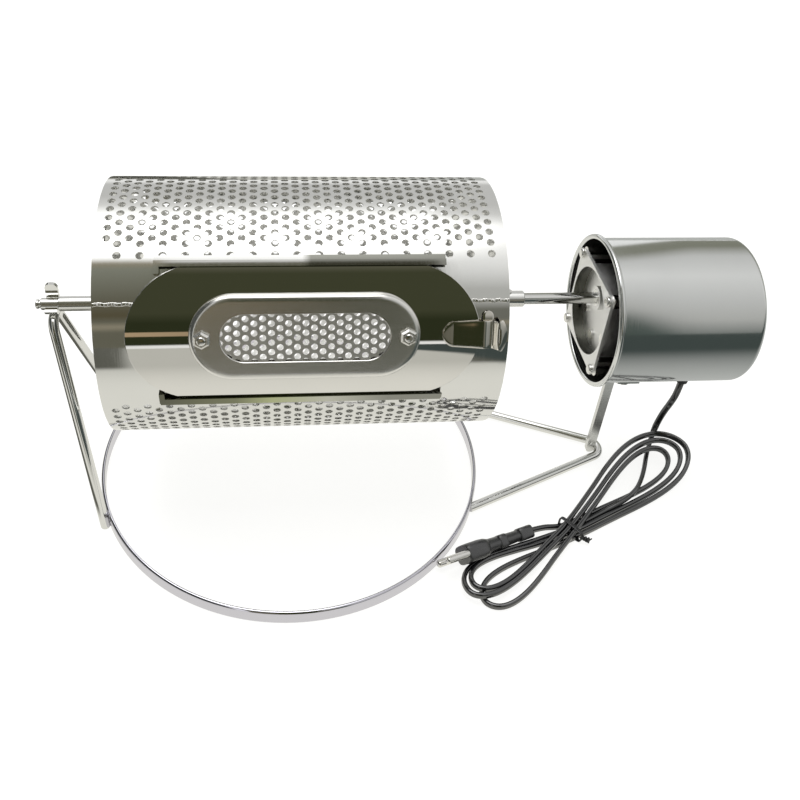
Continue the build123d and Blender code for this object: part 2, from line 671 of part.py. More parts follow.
def make_window_plate():
    """Dished cover: flat face with rounded edges, and a skirt that comes down to the door."""
    plate = stadium(PLATE_LENGTH, PLATE_HEIGHT, 0, PLATE_TOP)
    plate = fillet(plate.faces().sort_by(Axis.Z)[-1].edges(), PLATE_EDGE_RADIUS)
    plate -= stadium(PLATE_LENGTH - 2 * SHEET, PLATE_HEIGHT - 2 * SHEET, -1, PLATE_UNDER)
    plate -= stadium(WINDOW_LENGTH, WINDOW_HEIGHT, 0, 2 * PLATE_TOP)
    plate -= [Pos(x, 0, 0) * upright(STUD_DIAMETER + 2 * SCREW_CLEARANCE, 0, 2 * PLATE_TOP)
              for x in stud_places()]
    return DRUM_FRAME * (plate - door_cylinder())


def stud_places():
    return (-STUD_SPACING / 2, STUD_SPACING / 2)


def mesh_hole_places():
    """Staggered holes that lie wholly inside the window."""
    step_x = MESH_PITCH * sqrt(3) / 2
    reach = WINDOW_HEIGHT / 2 - MESH_HOLE / 2
    straight = (WINDOW_LENGTH - WINDOW_HEIGHT) / 2
    columns = int(WINDOW_LENGTH / 2 / step_x)
    rows = int(WINDOW_HEIGHT / 2 / MESH_PITCH) + 1
    places = []
    for column in range(-columns, columns + 1):
        for row in range(-rows, rows + 1):
            x = column * step_x
            y = (row + column % 2 / 2) * MESH_PITCH
            if hypot(max(abs(x) - straight, 0), y) <= reach:
                places.append((x, y))
    return places


def make_window_mesh():
    """Fine perforated sheet clamped under the cover plate."""
    margin = SHEET + SLIDE_CLEARANCE
    outline = SlotOverall(PLATE_LENGTH - 2 * margin, PLATE_HEIGHT - 2 * margin)
    outline -= [Pos(x, y) * Circle(MESH_HOLE / 2) for x, y in mesh_hole_places()]
    outline -= [Pos(x, 0) * Circle(STUD_DIAMETER / 2 + SCREW_CLEARANCE) for x in stud_places()]
    return DRUM_FRAME * extrude(Pos(0, 0, MESH_UNDER) * outline, MESH_SHEET)


def make_window_studs():
    """Weld studs on the door, each with a collar that the mesh and plate sit on."""
    stud = upright(STUD_DIAMETER, 0, PLATE_TOP + NUT_HEIGHT + 1)
    collar = upright(STUD_COLLAR, 0, MESH_UNDER)
    return [DRUM_FRAME * (Pos(x, 0, 0) * (stud + collar) - door_cylinder()) for x in stud_places()]


def make_window_nuts():
    hexagon = RegularPolygon(NUT_ACROSS / 2, 6, major_radius=False) - Circle(
        STUD_DIAMETER / 2 + FIT_CLEARANCE
    )
    nut = extrude(Pos(0, 0, PLATE_TOP) * hexagon, NUT_HEIGHT)
    return [DRUM_FRAME * Pos(x, 0, 0) * nut for x in stud_places()]


def make_latch_clip():
    """Spring leaf on the door's right end: root, bridge past the door, crease on the drum, finger lip."""
    root_x = DOOR_LENGTH / 2 - LATCH_ROOT
    bridge_x = DOOR_LENGTH / 2 + LATCH_BRIDGE
    high = DOOR_OUT_R + SLIDE_CLEARANCE + LATCH_SHEET / 2
    low = DRUM_R + SLIDE_CLEARANCE + LATCH_SHEET
    crease_x = bridge_x + (high - low)
    line = FilletPolyline(
        (root_x, high),
        (bridge_x, high),
        (crease_x, low),
        (crease_x + LATCH_LIP * 0.35, low + LATCH_LIP_RISE * 0.6),
        (crease_x + LATCH_LIP, low + LATCH_LIP_RISE),
        radius=LATCH_SHEET * 0.6,
    )
    leaf = extrude(Plane.XZ * trace(line, LATCH_SHEET), LATCH_WIDTH / 2, both=True)
    round_root = Pos(root_x + 2 * LATCH_WIDTH, 0, 0) * stadium(
        4 * LATCH_WIDTH, LATCH_WIDTH, 0, 2 * DRUM_R
    )
    return DRUM_FRAME * (leaf & round_root)


# Cord

def cord_radii(points):
    """Arc radius at each inner point: 0.45 of the shorter run over the tangent of half the turn."""
    radii = []
    for before, here, after in zip(points, points[1:], points[2:]):
        first = Vector(here) - Vector(before)
        second = Vector(after) - Vector(here)
        turn = radians(first.get_angle(second))
        radii.append(0.45 * min(first.length, second.length) / tan(turn / 2))
    return radii


def make_cord_lead(hank):
    """Lead from the grommet down to the top of the hank."""
    radii = cord_radii(LEAD_ROUTE)
    path = FilletPolyline(*LEAD_ROUTE, radius=radii)
    tube = swept_rod(path, CORD_DIAMETER)
    print("cord lead radii", [round(r, 1) for r in radii], "length", round(path.length, 1),
          "volume share", round(tube.volume / (path.length * pi * CORD_DIAMETER**2 / 4), 4))
    return tube - hank


def lobe(centre, radius):
    """Plan of one lobe of the hank: the hull of its round end and the waist."""
    end = Pos(*centre) * Circle(radius)
    waist = Pos(*WAIST_CENTRE) * Circle(WAIST_RADIUS)
    return make_hull(end.edges() + waist.edges())


def hank_heading():
    (x0, y0), (x1, y1) = LEFT_LOBE_CENTRE, RIGHT_LOBE_CENTRE
    return degrees(atan2(y1 - y0, x1 - x0))


def make_cord_tie():
    """Band around the waist of the hank."""
    width = 2 * WAIST_RADIUS + 2 * TIE_THICKNESS
    height = HANK_HEIGHT + TIE_THICKNESS
    outer = Box(TIE_WIDTH, width, height, align=(Align.CENTER, Align.CENTER, Align.MIN))
    inner = Pos(0, 0, TIE_THICKNESS) * Box(
        2 * TIE_WIDTH, 2 * WAIST_RADIUS, HANK_HEIGHT - TIE_THICKNESS,
        align=(Align.CENTER, Align.CENTER, Align.MIN),
    )
    return Pos(*WAIST_CENTRE, 0) * Rot(0, 0, hank_heading()) * (outer - inner)


def make_cord_hank(tie, plug):
    """Outer shape of the tied bow of cord, cut clear of the plug that lies in it."""
    right = extrude(lobe(RIGHT_LOBE_CENTRE, RIGHT_LOBE_RADIUS), HANK_HEIGHT)
    left = extrude(lobe(LEFT_LOBE_CENTRE, LEFT_LOBE_RADIUS), HANK_HEIGHT)
    hank = right + left
    hank = fillet(hank.faces().sort_by(Axis.Z)[-1].edges(), HANK_ROUNDING)
    hank = hank - tie - plug
    return max(hank.solids(), key=lambda solid: solid.volume)


def plug_frame():
    """+X runs from the plug's face back along the cord, Y is the line through the two pins."""
    place = Pos(*PLUG_FACE, PLUG_AXIS_HEIGHT)
    return place * Rot(0, 0, PLUG_HEADING) * Rot(0, PLUG_PITCH, 0) * Rot(-PLUG_ROLL, 0, 0)


def make_plug_body():
    """Rounded plug with a tapered strain relief that carries two square ribs."""
    face = Plane.YZ * RectangleRounded(PLUG_WIDTH, PLUG_THICKNESS, PLUG_ROUNDING)
    body = extrude(face, PLUG_LENGTH, dir=(1, 0, 0))
    back = body.faces().sort_by(Axis.X)[-1].edges()
    body = fillet(back, PLUG_ROUNDING * 0.6)
    relief = Pos(PLUG_LENGTH - 1 + (RELIEF_LENGTH + 1) / 2, 0, 0) * Rot(0, 90, 0) * Cone(
        RELIEF_ROOT / 2, RELIEF_TIP / 2, RELIEF_LENGTH + 1
    )
    rib_face = RectangleRounded(RIB_SIDE, RIB_SIDE, RIB_ROUNDING)
    ribs = [
        extrude(Plane.YZ.offset(start) * rib_face, length, dir=(1, 0, 0))
        for start, length in (
            (PLUG_LENGTH + MIDDLE_RIB_INSET, MIDDLE_RIB_LENGTH),
            (PLUG_LENGTH + RELIEF_LENGTH - END_RIB_LENGTH, END_RIB_LENGTH),
        )
    ]
    return plug_frame() * (body + relief + ribs)


def make_plug_pins():
    pins = []
    for side in (-1, 1):
        pin = rod_x(-PIN_LENGTH, 0, PIN_DIAMETER)
        tip = pin.edges().filter_by(GeomType.CIRCLE).sort_by(Axis.X)[0]
        pin = fillet(tip, PIN_DIAMETER * 0.3)
        pins.append(plug_frame() * Pos(0, side * PIN_SPACING / 2, 0) * pin)
    return pins


def make_parts():
    """Every node by name: one solid, or a list of separate solids."""
    ring = make_base_ring()
    saddle = make_axle_saddle()
    foot_rod = make_foot_rod()
    tie = make_cord_tie()
    plug = make_plug_body()
    hank = make_cord_hank(tie, plug)
    parts = {
        "base_ring": ring,
        "axle_saddle": saddle,
        "leg_rod": make_leg_rod(ring, saddle),
        "foot_rod": foot_rod,
        "motor_post": make_motor_post(foot_rod),
        "motor_bracket": make_motor_bracket(),
        "bracket_screws": make_bracket_screws(),
        "bracket_nuts": make_bracket_nuts(),
        "motor_cup": make_motor_cup(),
        "standoff_posts": make_standoff_posts(),
        "motor_face_plate": make_motor_face_plate(),
        "plate_screws": make_plate_screws(),
        "gearbox_case": make_gearbox_case(),
        "gearbox_screws": make_gearbox_screws(),
        "motor_can": make_motor_can(),
        "motor_wires": make_motor_wires(),
        "cord_grommet": make_cord_grommet(),
        "axle": make_axle(),
        "output_socket": make_output_socket(),
        "spacer_sleeve": make_spacer_sleeve(),
        "hub_sleeve": make_hub_sleeve(),
        "set_screw": make_set_screw(),
        "drum_shell": make_drum_shell(),
        "left_end_disc": make_end_disc(-1),
        "right_end_disc": make_end_disc(1),
        "top_rail": make_rail(1),
        "bottom_rail": make_rail(-1),
        "door_panel": make_door_panel(),
        "window_plate": make_window_plate(),
        "window_mesh": make_window_mesh(),
        "window_studs": make_window_studs(),
        "window_nuts": make_window_nuts(),
        "latch_clip": make_latch_clip(),
        "cord_lead": make_cord_lead(hank),
        "cord_hank": hank,
        "cord_tie": tie,
        "plug_body": plug,
        "plug_pins": make_plug_pins(),
    }
    for number in range(1, VANE_COUNT + 1):
        parts[f"mixing_vane_{number}"] = make_mixing_vane(number)
    return parts


os.makedirs("parts", exist_ok=True)
for name, shape in make_parts().items():
    solids = shape if isinstance(shape, list) else [shape]
    solids = [solid for piece in solids for solid in piece.solids()]
    export_step(solids[0] if len(solids) == 1 else Compound(solids), f"parts/{name}.step")
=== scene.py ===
# %% [markdown]
# # A drum coffee roaster
# A perforated steel drum lies on an axle over a burner and is turned by a gear motor in a steel cup. The
# CAD frame holds every piece at its real place and size. This lesson dresses the frame: each new piece is a
# surface worked out with numpy, and each finish is a small tree of shader nodes.

import math

import bmesh
import bpy
import numpy as np
from mathutils import Matrix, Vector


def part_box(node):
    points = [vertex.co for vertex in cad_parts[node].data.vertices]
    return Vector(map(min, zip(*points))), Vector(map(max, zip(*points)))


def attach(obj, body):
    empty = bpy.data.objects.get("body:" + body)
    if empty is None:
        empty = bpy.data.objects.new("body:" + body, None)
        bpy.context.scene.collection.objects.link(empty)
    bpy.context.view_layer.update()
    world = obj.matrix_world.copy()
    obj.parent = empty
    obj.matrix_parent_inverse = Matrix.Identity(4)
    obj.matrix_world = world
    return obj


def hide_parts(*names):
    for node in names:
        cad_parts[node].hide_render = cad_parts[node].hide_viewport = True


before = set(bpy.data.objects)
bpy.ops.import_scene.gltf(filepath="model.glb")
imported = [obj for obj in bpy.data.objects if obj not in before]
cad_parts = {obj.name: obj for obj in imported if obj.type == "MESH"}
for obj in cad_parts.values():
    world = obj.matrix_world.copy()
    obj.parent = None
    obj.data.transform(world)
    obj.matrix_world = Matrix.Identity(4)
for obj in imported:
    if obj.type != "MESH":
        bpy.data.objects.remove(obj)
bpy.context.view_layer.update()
MM = 0.001

# %% [markdown]
# ## Camera
# The picture was taken from above and in front of the door with a normal lens, a little turned and rolled.
# A target constraint could aim the camera, but three angles and a position say the same thing plainly. The
# lens axis is not in the middle of the picture, so the camera is shifted as the framing needs.

# %% Camera
EYE = (-62.3, -350.6, 380.1)
YAW, PITCH, ROLL = math.radians(7.46), math.radians(37.27), math.radians(3.84)
PICTURE = 800
FOCAL_PIXELS = 862.2
AXIS_PIXEL = (367.6, 308.9)
SENSOR = 36.0
NEAREST = 0.01


def aim_camera():
    """The view axis turns right by the yaw and down by the pitch; the picture then rolls about that axis."""
    ahead = np.array([
        math.sin(YAW) * math.cos(PITCH), math.cos(YAW) * math.cos(PITCH), -math.sin(PITCH)
    ])
    level = np.array([math.cos(YAW), -math.sin(YAW), 0.0])
    upward = np.cross(level, ahead)
    right = level * math.cos(ROLL) + upward * math.sin(ROLL)
    up = upward * math.cos(ROLL) - level * math.sin(ROLL)
    data = bpy.data.cameras.new("camera")
    data.sensor_width = SENSOR
    data.lens = FOCAL_PIXELS * SENSOR / PICTURE
    data.shift_x = (PICTURE / 2 - AXIS_PIXEL[0]) / PICTURE
    data.shift_y = (AXIS_PIXEL[1] - PICTURE / 2) / PICTURE
    data.clip_start = NEAREST
    camera = bpy.data.objects.new("camera", data)
    bpy.context.scene.collection.objects.link(camera)
    matrix = np.eye(4)
    matrix[:3, :3] = np.stack([right, up, -ahead], -1)
    matrix[:3, 3] = np.array(EYE) * MM
    camera.matrix_world = Matrix(matrix.tolist())
    bpy.context.scene.camera = camera
    return camera


camera = aim_camera()
print("lens", round(camera.data.lens, 1), "mm")

# %% [markdown]
# ## Nodes
# Room, table and finishes are trees of shader nodes. They could be wired by hand in the node editor, but a
# few short functions let a tree be read as text: each adds one node, fills its inputs with numbers or
# links, and gives back its output.

# %% Node helpers
MIX_FIRST, MIX_SECOND, MIX_RESULT = 6, 7, 2


def add(tree, kind, inputs=None, **settings):
    """Adds a shader node, sets its settings, and sets or links its inputs."""
    made = tree.nodes.new(kind)
    for key, value in settings.items():
        setattr(made, key, value)
    for key, value in (inputs or {}).items():
        if isinstance(value, bpy.types.NodeSocket):
            tree.links.new(value, made.inputs[key])
        else:
            made.inputs[key].default_value = value
    return made


def ramp(tree, factor, stops):
    """Colour ramp whose stops are (position from 0 to 1, linear colour)."""
    made = add(tree, "ShaderNodeValToRGB", {"Fac": factor})
    elements = made.color_ramp.elements
    while len(elements) < len(stops):
        elements.new(1.0)
    for element, (position, colour) in zip(elements, stops):
        element.position = position
        element.color = (*colour, 1.0)
    return made.outputs["Color"]


def calc(tree, operation, *values, kind="ShaderNodeMath"):
    """One operation on numbers or sockets; the kind ShaderNodeVectorMath works on colours."""
    return add(tree, kind, dict(enumerate(values)), operation=operation).outputs[0]


def remap(tree, value, low, high, new_low=0.0, new_high=1.0, step="LINEAR"):
    """Moves a value from the span low to high on to the span new_low to new_high."""
    made = add(tree, "ShaderNodeMapRange", {
        "Value": value, "From Min": low, "From Max": high, "To Min": new_low, "To Max": new_high
    }, interpolation_type=step)
    return made.outputs["Result"]


def zone(tree, value, low, high):
    """Smooth step from 0 at low to 1 at high."""
    return remap(tree, value, low, high, step="SMOOTHSTEP")


def blend_colours(tree, factor, first, second):
    """Mixes two colours by a factor; the sockets for colours have the same names as those for numbers, so
    they are taken by their place."""
    made = add(tree, "ShaderNodeMix", {"Factor": factor}, data_type="RGBA")
    for socket, value in ((made.inputs[MIX_FIRST], first), (made.inputs[MIX_SECOND], second)):
        if isinstance(value, bpy.types.NodeSocket):
            tree.links.new(value, socket)
        else:
            socket.default_value = (*value, 1.0)
    return made.outputs[MIX_RESULT]


print("node helpers:", [made.__name__ for made in (add, ramp, calc, remap, zone, blend_colours)])

# %% [markdown]
# ## Room
# Polished steel has hardly a colour of its own: what shows is the room. Behind the camera the room is dark
# olive with a brown shelf near the horizon, and overhead it is white. To the left come duller bands, a
# white gap and a dark corner; to the right come a grey panel and a side wall with leaning bands. A picture
# of a room could be wrapped round the scene, but ramps over the elevation of a direction are enough: each
# runs from the front horizon, over the ceiling, to the back, and the sideways part of the direction chooses
# between them. A soft glow overhead is added last. Camera rays see plain white instead.

# %% Room colours
WHITE, LIGHT, GREY, PALE = (0.93, 0.93, 0.92), (0.78, 0.78, 0.77), (0.62, 0.62, 0.61), (0.51, 0.51, 0.49)
BLACK, OLIVE, TEAL = (0.028, 0.033, 0.015), (0.055, 0.059, 0.032), (0.07, 0.092, 0.083)
DUSK, SLATE, STONE = (0.14, 0.135, 0.1), (0.17, 0.17, 0.145), (0.24, 0.245, 0.2)
UMBER, BRONZE, BROWN = (0.1, 0.086, 0.05), (0.3, 0.27, 0.2), (0.46, 0.34, 0.21)
BACK_STOPS = [(145, GREY), (168, GREY), (176, WHITE), (180, WHITE)]
FRONT_STOPS = [
    (-180, WHITE), (0, WHITE), (1, BLACK), (20, BLACK), (28, OLIVE), (61, OLIVE), (70, DUSK), (71.5, WHITE),
    (122, WHITE), *BACK_STOPS,
]
LEFT_STOPS = [
    (-180, WHITE), (-1, DUSK), (12, DUSK), (16.5, BRONZE), (21, DUSK), (26, UMBER), (40, DUSK), (66, STONE),
    (71, BRONZE), (76, WHITE), (122, WHITE), *BACK_STOPS,
]
PANEL_STOPS = [
    (-180, WHITE), (-1, DUSK), (13, SLATE), (16.5, BRONZE), (19, SLATE), (28, SLATE), (37, PALE), (46, PALE),
    (60, LIGHT), (70, WHITE), (100, WHITE), (112, GREY), *BACK_STOPS,
]
SIDE_STOPS = [
    (-180, WHITE), (-40, WHITE), (-30, TEAL), (12, TEAL), (38, PALE), (60, GREY), (91, LIGHT), (121, GREY),
    (140, STONE), (164, STONE), (173, WHITE), (180, WHITE),
]
GLOW_STOPS = [
    (0, 0.0), (71, 0.0), (76, 0.4), (82, 1.0), (91, 2.4), (108, 2.4), (120, 0.5), (132, 0.0), (180, 0.0)
]
GLOW_LEFT, GLOW_RIGHT = (-0.62, -0.35), (0.34, 0.04)
FAR_LEFT = (0.07, 0.075, 0.07)
SIDE_LEAN = (0.36, 0.46, 1.25, 0.75)
SHELF_FROM, SHELF_TO, SHELF_SOFT = 8.0, 12.5, 0.8
SHELF_EDGE = (0.12, -0.12)
LEFT_EDGE, GAP_EDGE, CORNER_EDGE = (-0.12, -0.135), (-0.34, -0.38), (-0.44, -0.5)
PANEL_EDGE, SIDE_EDGE = (0.178, 0.192), (0.33, 0.37)
print("room stops:", [len(stops) for stops in (FRONT_STOPS, LEFT_STOPS, PANEL_STOPS, SIDE_STOPS)])

# %% [markdown]
# The room is the world's shader. Every part of it is a ramp or a plain colour, and a smooth step on the
# sideways part of the direction lays the next part over the ones before. The side wall's bands lean because
# its elevation is stretched about the ceiling by an amount that depends on the sideways part.

# %% Room
OVERHEAD = 90.0


def by_elevation(tree, degrees, stops):
    """Ramp whose stops are given in degrees: 0 is the front horizon, 90 overhead, 180 the back horizon."""
    share = remap(tree, degrees, -180.0, 180.0)
    return ramp(tree, share, [((stop + 180) / 360, colour) for stop, colour in stops])


def make_room():
    """Elevation is the arc tangent of up over forward; the sideways part chooses the side of the room."""
    world = bpy.data.worlds.new("room")
    world.use_nodes = True
    tree = world.node_tree
    tree.nodes.clear()
    direction = add(tree, "ShaderNodeTexCoord").outputs["Generated"]
    x, y, z = add(tree, "ShaderNodeSeparateXYZ", {"Vector": direction}).outputs
    degrees = calc(tree, "DEGREES", calc(tree, "ARCTAN2", z, calc(tree, "MULTIPLY", y, -1.0)))
    past_top = calc(tree, "SUBTRACT", degrees, OVERHEAD)
    leant = calc(tree, "MULTIPLY_ADD", past_top, remap(tree, x, *SIDE_LEAN), OVERHEAD)
    front, left, panel = (
        by_elevation(tree, degrees, stops) for stops in (FRONT_STOPS, LEFT_STOPS, PANEL_STOPS)
    )
    side = by_elevation(tree, leant, SIDE_STOPS)
    above = zone(tree, degrees, SHELF_FROM, SHELF_FROM + SHELF_SOFT)
    below = zone(tree, degrees, SHELF_TO, SHELF_TO - SHELF_SOFT)
    shelf = calc(tree, "MULTIPLY", calc(tree, "MULTIPLY", above, below), zone(tree, x, *SHELF_EDGE))
    seen = blend_colours(tree, shelf, front, BROWN)
    for edge, colour in (
        (LEFT_EDGE, left), (GAP_EDGE, WHITE), (CORNER_EDGE, FAR_LEFT), (PANEL_EDGE, panel), (SIDE_EDGE, side)
    ):
        seen = blend_colours(tree, zone(tree, x, *edge), seen, colour)
    glow = by_elevation(tree, degrees, [(stop, (level,) * 3) for stop, level in GLOW_STOPS])
    for edge in (GLOW_LEFT, GLOW_RIGHT):
        glow = calc(tree, "MULTIPLY", glow, zone(tree, x, *edge), kind="ShaderNodeVectorMath")
    seen = calc(tree, "ADD", seen, glow, kind="ShaderNodeVectorMath")
    camera_ray = add(tree, "ShaderNodeLightPath").outputs["Is Camera Ray"]
    seen = blend_colours(tree, camera_ray, seen, (1.0, 1.0, 1.0))
    shader = add(tree, "ShaderNodeBackground", {"Color": seen, "Strength": 1.0})
    add(tree, "ShaderNodeOutputWorld", {"Surface": shader.outputs[0]})
    bpy.context.scene.world = world
    bpy.context.scene.view_settings.view_transform = "Standard"


make_room()
print("room nodes:", len(bpy.context.scene.world.node_tree.nodes))

# %% [markdown]
# ## Table
# The camera sees a white table with a faint shadow: the shader adds a glow for camera rays to a grey that
# takes the light. In the steel the table shows as white paper that dims with distance, spread like a fan in
# front of the drum, with dark bench around it, so its colour there depends on the place. A picture of a
# table could do that too, but a few soft edges are enough.

# %% Table
TABLE_HALF = 4000
TABLE_DROP = 0.1
TABLE_GREY = (0.18, 0.18, 0.178, 1.0)
TABLE_WHITE = (1.0, 1.0, 0.985, 1.0)
TABLE_GLOW = 0.9
PAPER_NEAR, PAPER_FAR = (0.84, 0.83, 0.77), (0.58, 0.575, 0.53)
PAPER_FADE = (0.15, 0.48)
BENCH = (0.12, 0.12, 0.1)
RIGHT_NEAR, RIGHT_FAR = (0.5, 0.51, 0.49), (0.06, 0.075, 0.07)
RIGHT_FADE = (0.0, 0.26)
FAR_RIGHT = (0.115, 0.15)
STRIP_RIGHT, STRIP_LEFT, STRIP_FRONT = (-0.165, -0.185), (-0.5, -0.42), (0.12, 0.07)
FAN_START = (0.34, 0.42)
FAN_LEFT, FAN_RIGHT = (-0.12, -0.172), (0.02, 0.195)
FAN_SOFT = 0.012


def bench_colour(tree):
    """Colour of the table by place: paper that dims with distance in a fan in front of the drum, dark bench
    on both sides of the fan and in a strip by the leg, and a bench to the right that darkens to the front."""
    place = add(tree, "ShaderNodeTexCoord").outputs["Object"]
    x, y, _ = add(tree, "ShaderNodeSeparateXYZ", {"Vector": place}).outputs
    ahead = calc(tree, "MULTIPLY", y, -1.0)
    away = calc(tree, "ABSOLUTE", ahead)
    paper = blend_colours(tree, zone(tree, away, *PAPER_FADE), PAPER_NEAR, PAPER_FAR)
    sides = []
    for (start, slope), sign in ((FAN_LEFT, -1.0), (FAN_RIGHT, 1.0)):
        edge = calc(tree, "MULTIPLY_ADD", ahead, slope, start)
        past = calc(tree, "MULTIPLY", calc(tree, "SUBTRACT", x, edge), sign)
        sides.append(zone(tree, past, -FAN_SOFT, FAN_SOFT))
    outside = calc(tree, "MULTIPLY", calc(tree, "MAXIMUM", *sides), zone(tree, ahead, *FAN_START))
    paper = blend_colours(tree, outside, paper, BENCH)
    strip = calc(tree, "MULTIPLY", zone(tree, x, *STRIP_RIGHT), zone(tree, x, *STRIP_LEFT))
    strip = calc(tree, "MULTIPLY", strip, zone(tree, ahead, *STRIP_FRONT))
    paper = blend_colours(tree, strip, paper, BENCH)
    right = blend_colours(tree, zone(tree, ahead, *RIGHT_FADE), RIGHT_NEAR, RIGHT_FAR)
    return blend_colours(tree, zone(tree, x, *FAR_RIGHT), paper, right)


def make_table():
    """Square sheet just under the part's feet."""
    half = TABLE_HALF * MM
    low = -TABLE_DROP * MM
    mesh = bpy.data.meshes.new("table")
    mesh.from_pydata(
        [(-half, -half, low), (half, -half, low), (half, half, low), (-half, half, low)], [], [(0, 1, 2, 3)]
    )
    table = bpy.data.objects.new("table", mesh)
    bpy.context.scene.collection.objects.link(table)
    material = bpy.data.materials.new("table_white")
    material.use_nodes = True
    tree = material.node_tree
    tree.nodes.clear()
    path = add(tree, "ShaderNodeLightPath").outputs
    glow = calc(tree, "MULTIPLY", path["Is Camera Ray"], TABLE_GLOW)
    shine = add(tree, "ShaderNodeEmission", {"Color": TABLE_WHITE, "Strength": glow}).outputs[0]
    matt = add(tree, "ShaderNodeBsdfDiffuse", {"Color": TABLE_GREY}).outputs[0]
    both = add(tree, "ShaderNodeAddShader", {0: shine, 1: matt}).outputs[0]
    mirrored = add(tree, "ShaderNodeEmission", {"Color": bench_colour(tree), "Strength": 1.0}).outputs[0]
    seen = add(tree, "ShaderNodeMixShader", {0: path["Is Glossy Ray"], 1: both, 2: mirrored}).outputs[0]
    add(tree, "ShaderNodeOutputMaterial", {"Surface": seen})
    mesh.materials.append(material)


make_table()
print("table", 2 * TABLE_HALF, "mm square")

# %% [markdown]
# One large soft lamp hangs over the roaster. The room alone could light it, but a lamp gives the matt
# pieces a light from above and the table a soft shadow. It isn't mirrored in the steel.

# %% Lamp
LAMP_PLACE = (-0.15, 0.2, 1.6)
LAMP_SIZE = (0.8, 1.4)
LAMP_POWER = 16.0


def hang_lamp():
    """Soft lamp above the roaster, facing down, that no mirror shows."""
    data = bpy.data.lights.new("lamp", "AREA")
    data.shape = "RECTANGLE"
    data.size, data.size_y = LAMP_SIZE
    data.energy = LAMP_POWER
    lamp = bpy.data.objects.new("lamp", data)
    lamp.location = LAMP_PLACE
    lamp.visible_glossy = False
    bpy.context.scene.collection.objects.link(lamp)


hang_lamp()
print("lamp", LAMP_POWER, "W")

# %% [markdown]
# ## Finishes
# Every steel here is one metal shader with three layers of procedural detail: fine lines from the rolling
# or brushing, which move the roughness; broad soft waves, which bend the mirror image a little; and faint
# blotches of colour. The lines follow a stretched noise in Object coordinates, so each finish says along
# which axis its lines are close together.

# %% Steel finishes
NOISE_LOW, NOISE_HIGH = 0.3, 0.7
LEAST_ROUGHNESS = 0.01
STAIN_SCALE = 45.0


def new_material(name):
    """Material with its node tree, its main shader and the Object coordinates of a point."""
    material = bpy.data.materials.new(name)
    material.use_nodes = True
    tree = material.node_tree
    return material, tree, tree.nodes["Principled BSDF"], add(tree, "ShaderNodeTexCoord").outputs["Object"]


def noise(tree, place, scale, detail):
    """Noise between 0 and 1 at a place."""
    return add(tree, "ShaderNodeTexNoise", {"Vector": place, "Scale": scale, "Detail": detail}).outputs["Fac"]


def dress(tree, shader, colour, rough, height, depth):
    """Links a colour, a roughness and a bump of the given depth to a shader."""
    bump = add(tree, "ShaderNodeBump", {"Height": height, "Strength": 1.0, "Distance": depth})
    for name, value in (("Base Color", colour), ("Roughness", rough), ("Normal", bump.outputs["Normal"])):
        tree.links.new(value, shader.inputs[name])


def steel(name, colour, roughness, spread, lines, waves, wave_size=0.02, blotch=0.06):
    """Metal whose roughness runs from roughness - spread to roughness + spread along stretched noise lines.

    lines is the noise frequency per metre along X, Y and Z; waves is the depth of soft dents in metres."""
    material, tree, shader, place = new_material(name)
    stretched = add(tree, "ShaderNodeMapping", {"Vector": place, "Scale": lines}).outputs[0]
    least = max(roughness - spread, LEAST_ROUGHNESS)
    rough = remap(tree, noise(tree, stretched, 1.0, 3.0), NOISE_LOW, NOISE_HIGH, least, roughness + spread)
    darker = tuple(c * (1 - blotch) for c in colour)
    tint = blend_colours(tree, noise(tree, place, STAIN_SCALE, 4.0), colour, darker)
    shader.inputs["Metallic"].default_value = 1.0
    dress(tree, shader, tint, rough, noise(tree, place, 1 / wave_size, 1.0), waves)
    return material


AROUND_X = (5200.0, 90.0, 90.0)
AROUND_Z = (120.0, 120.0, 5200.0)
ALONG_X = (90.0, 4200.0, 4200.0)
EVEN = (700.0, 700.0, 700.0)
door_mirror = steel("door_mirror", (0.80, 0.79, 0.76), 0.03, 0.012, ALONG_X, 2e-5, 0.03)
drum_polish = steel("drum_polish", (0.80, 0.80, 0.78), 0.07, 0.03, AROUND_X, 1.5e-5, 0.02)
plate_satin = steel("plate_satin", (0.85, 0.84, 0.81), 0.22, 0.025, ALONG_X, 1e-5)
mesh_steel = steel("mesh_steel", (0.80, 0.79, 0.77), 0.34, 0.05, EVEN, 0.0)
drum_inside = steel("drum_inside", (0.93, 0.93, 0.91), 0.55, 0.08, AROUND_X, 0.0)
cup_satin = steel("cup_satin", (0.78, 0.79, 0.78), 0.12, 0.035, AROUND_X, 1e-5)
rod_bright = steel("rod_bright", (0.82, 0.82, 0.80), 0.05, 0.02, EVEN, 2e-5, 0.01)
turned_steel = steel("turned_steel", (0.78, 0.78, 0.76), 0.12, 0.05, AROUND_X, 0.0)
ring_steel = steel("ring_steel", (0.71, 0.70, 0.77), 0.06, 0.025, AROUND_Z, 2e-5, 0.015)
post_satin = steel("post_satin", (0.78, 0.78, 0.76), 0.3, 0.06, AROUND_Z, 1e-5)
plated = steel("plated", (0.82, 0.81, 0.78), 0.14, 0.06, EVEN, 0.0)
cast_grey = steel("cast_grey", (0.95, 0.95, 0.94), 0.42, 0.06, EVEN, 1e-5, 0.004)
# Near black inside of the cup: painted shade for the deep shade in it.
cup_inside_painted_shade = steel("cup_inside_painted_shade", (0.09, 0.09, 0.085), 0.4, 0.1, AROUND_X, 0.0)
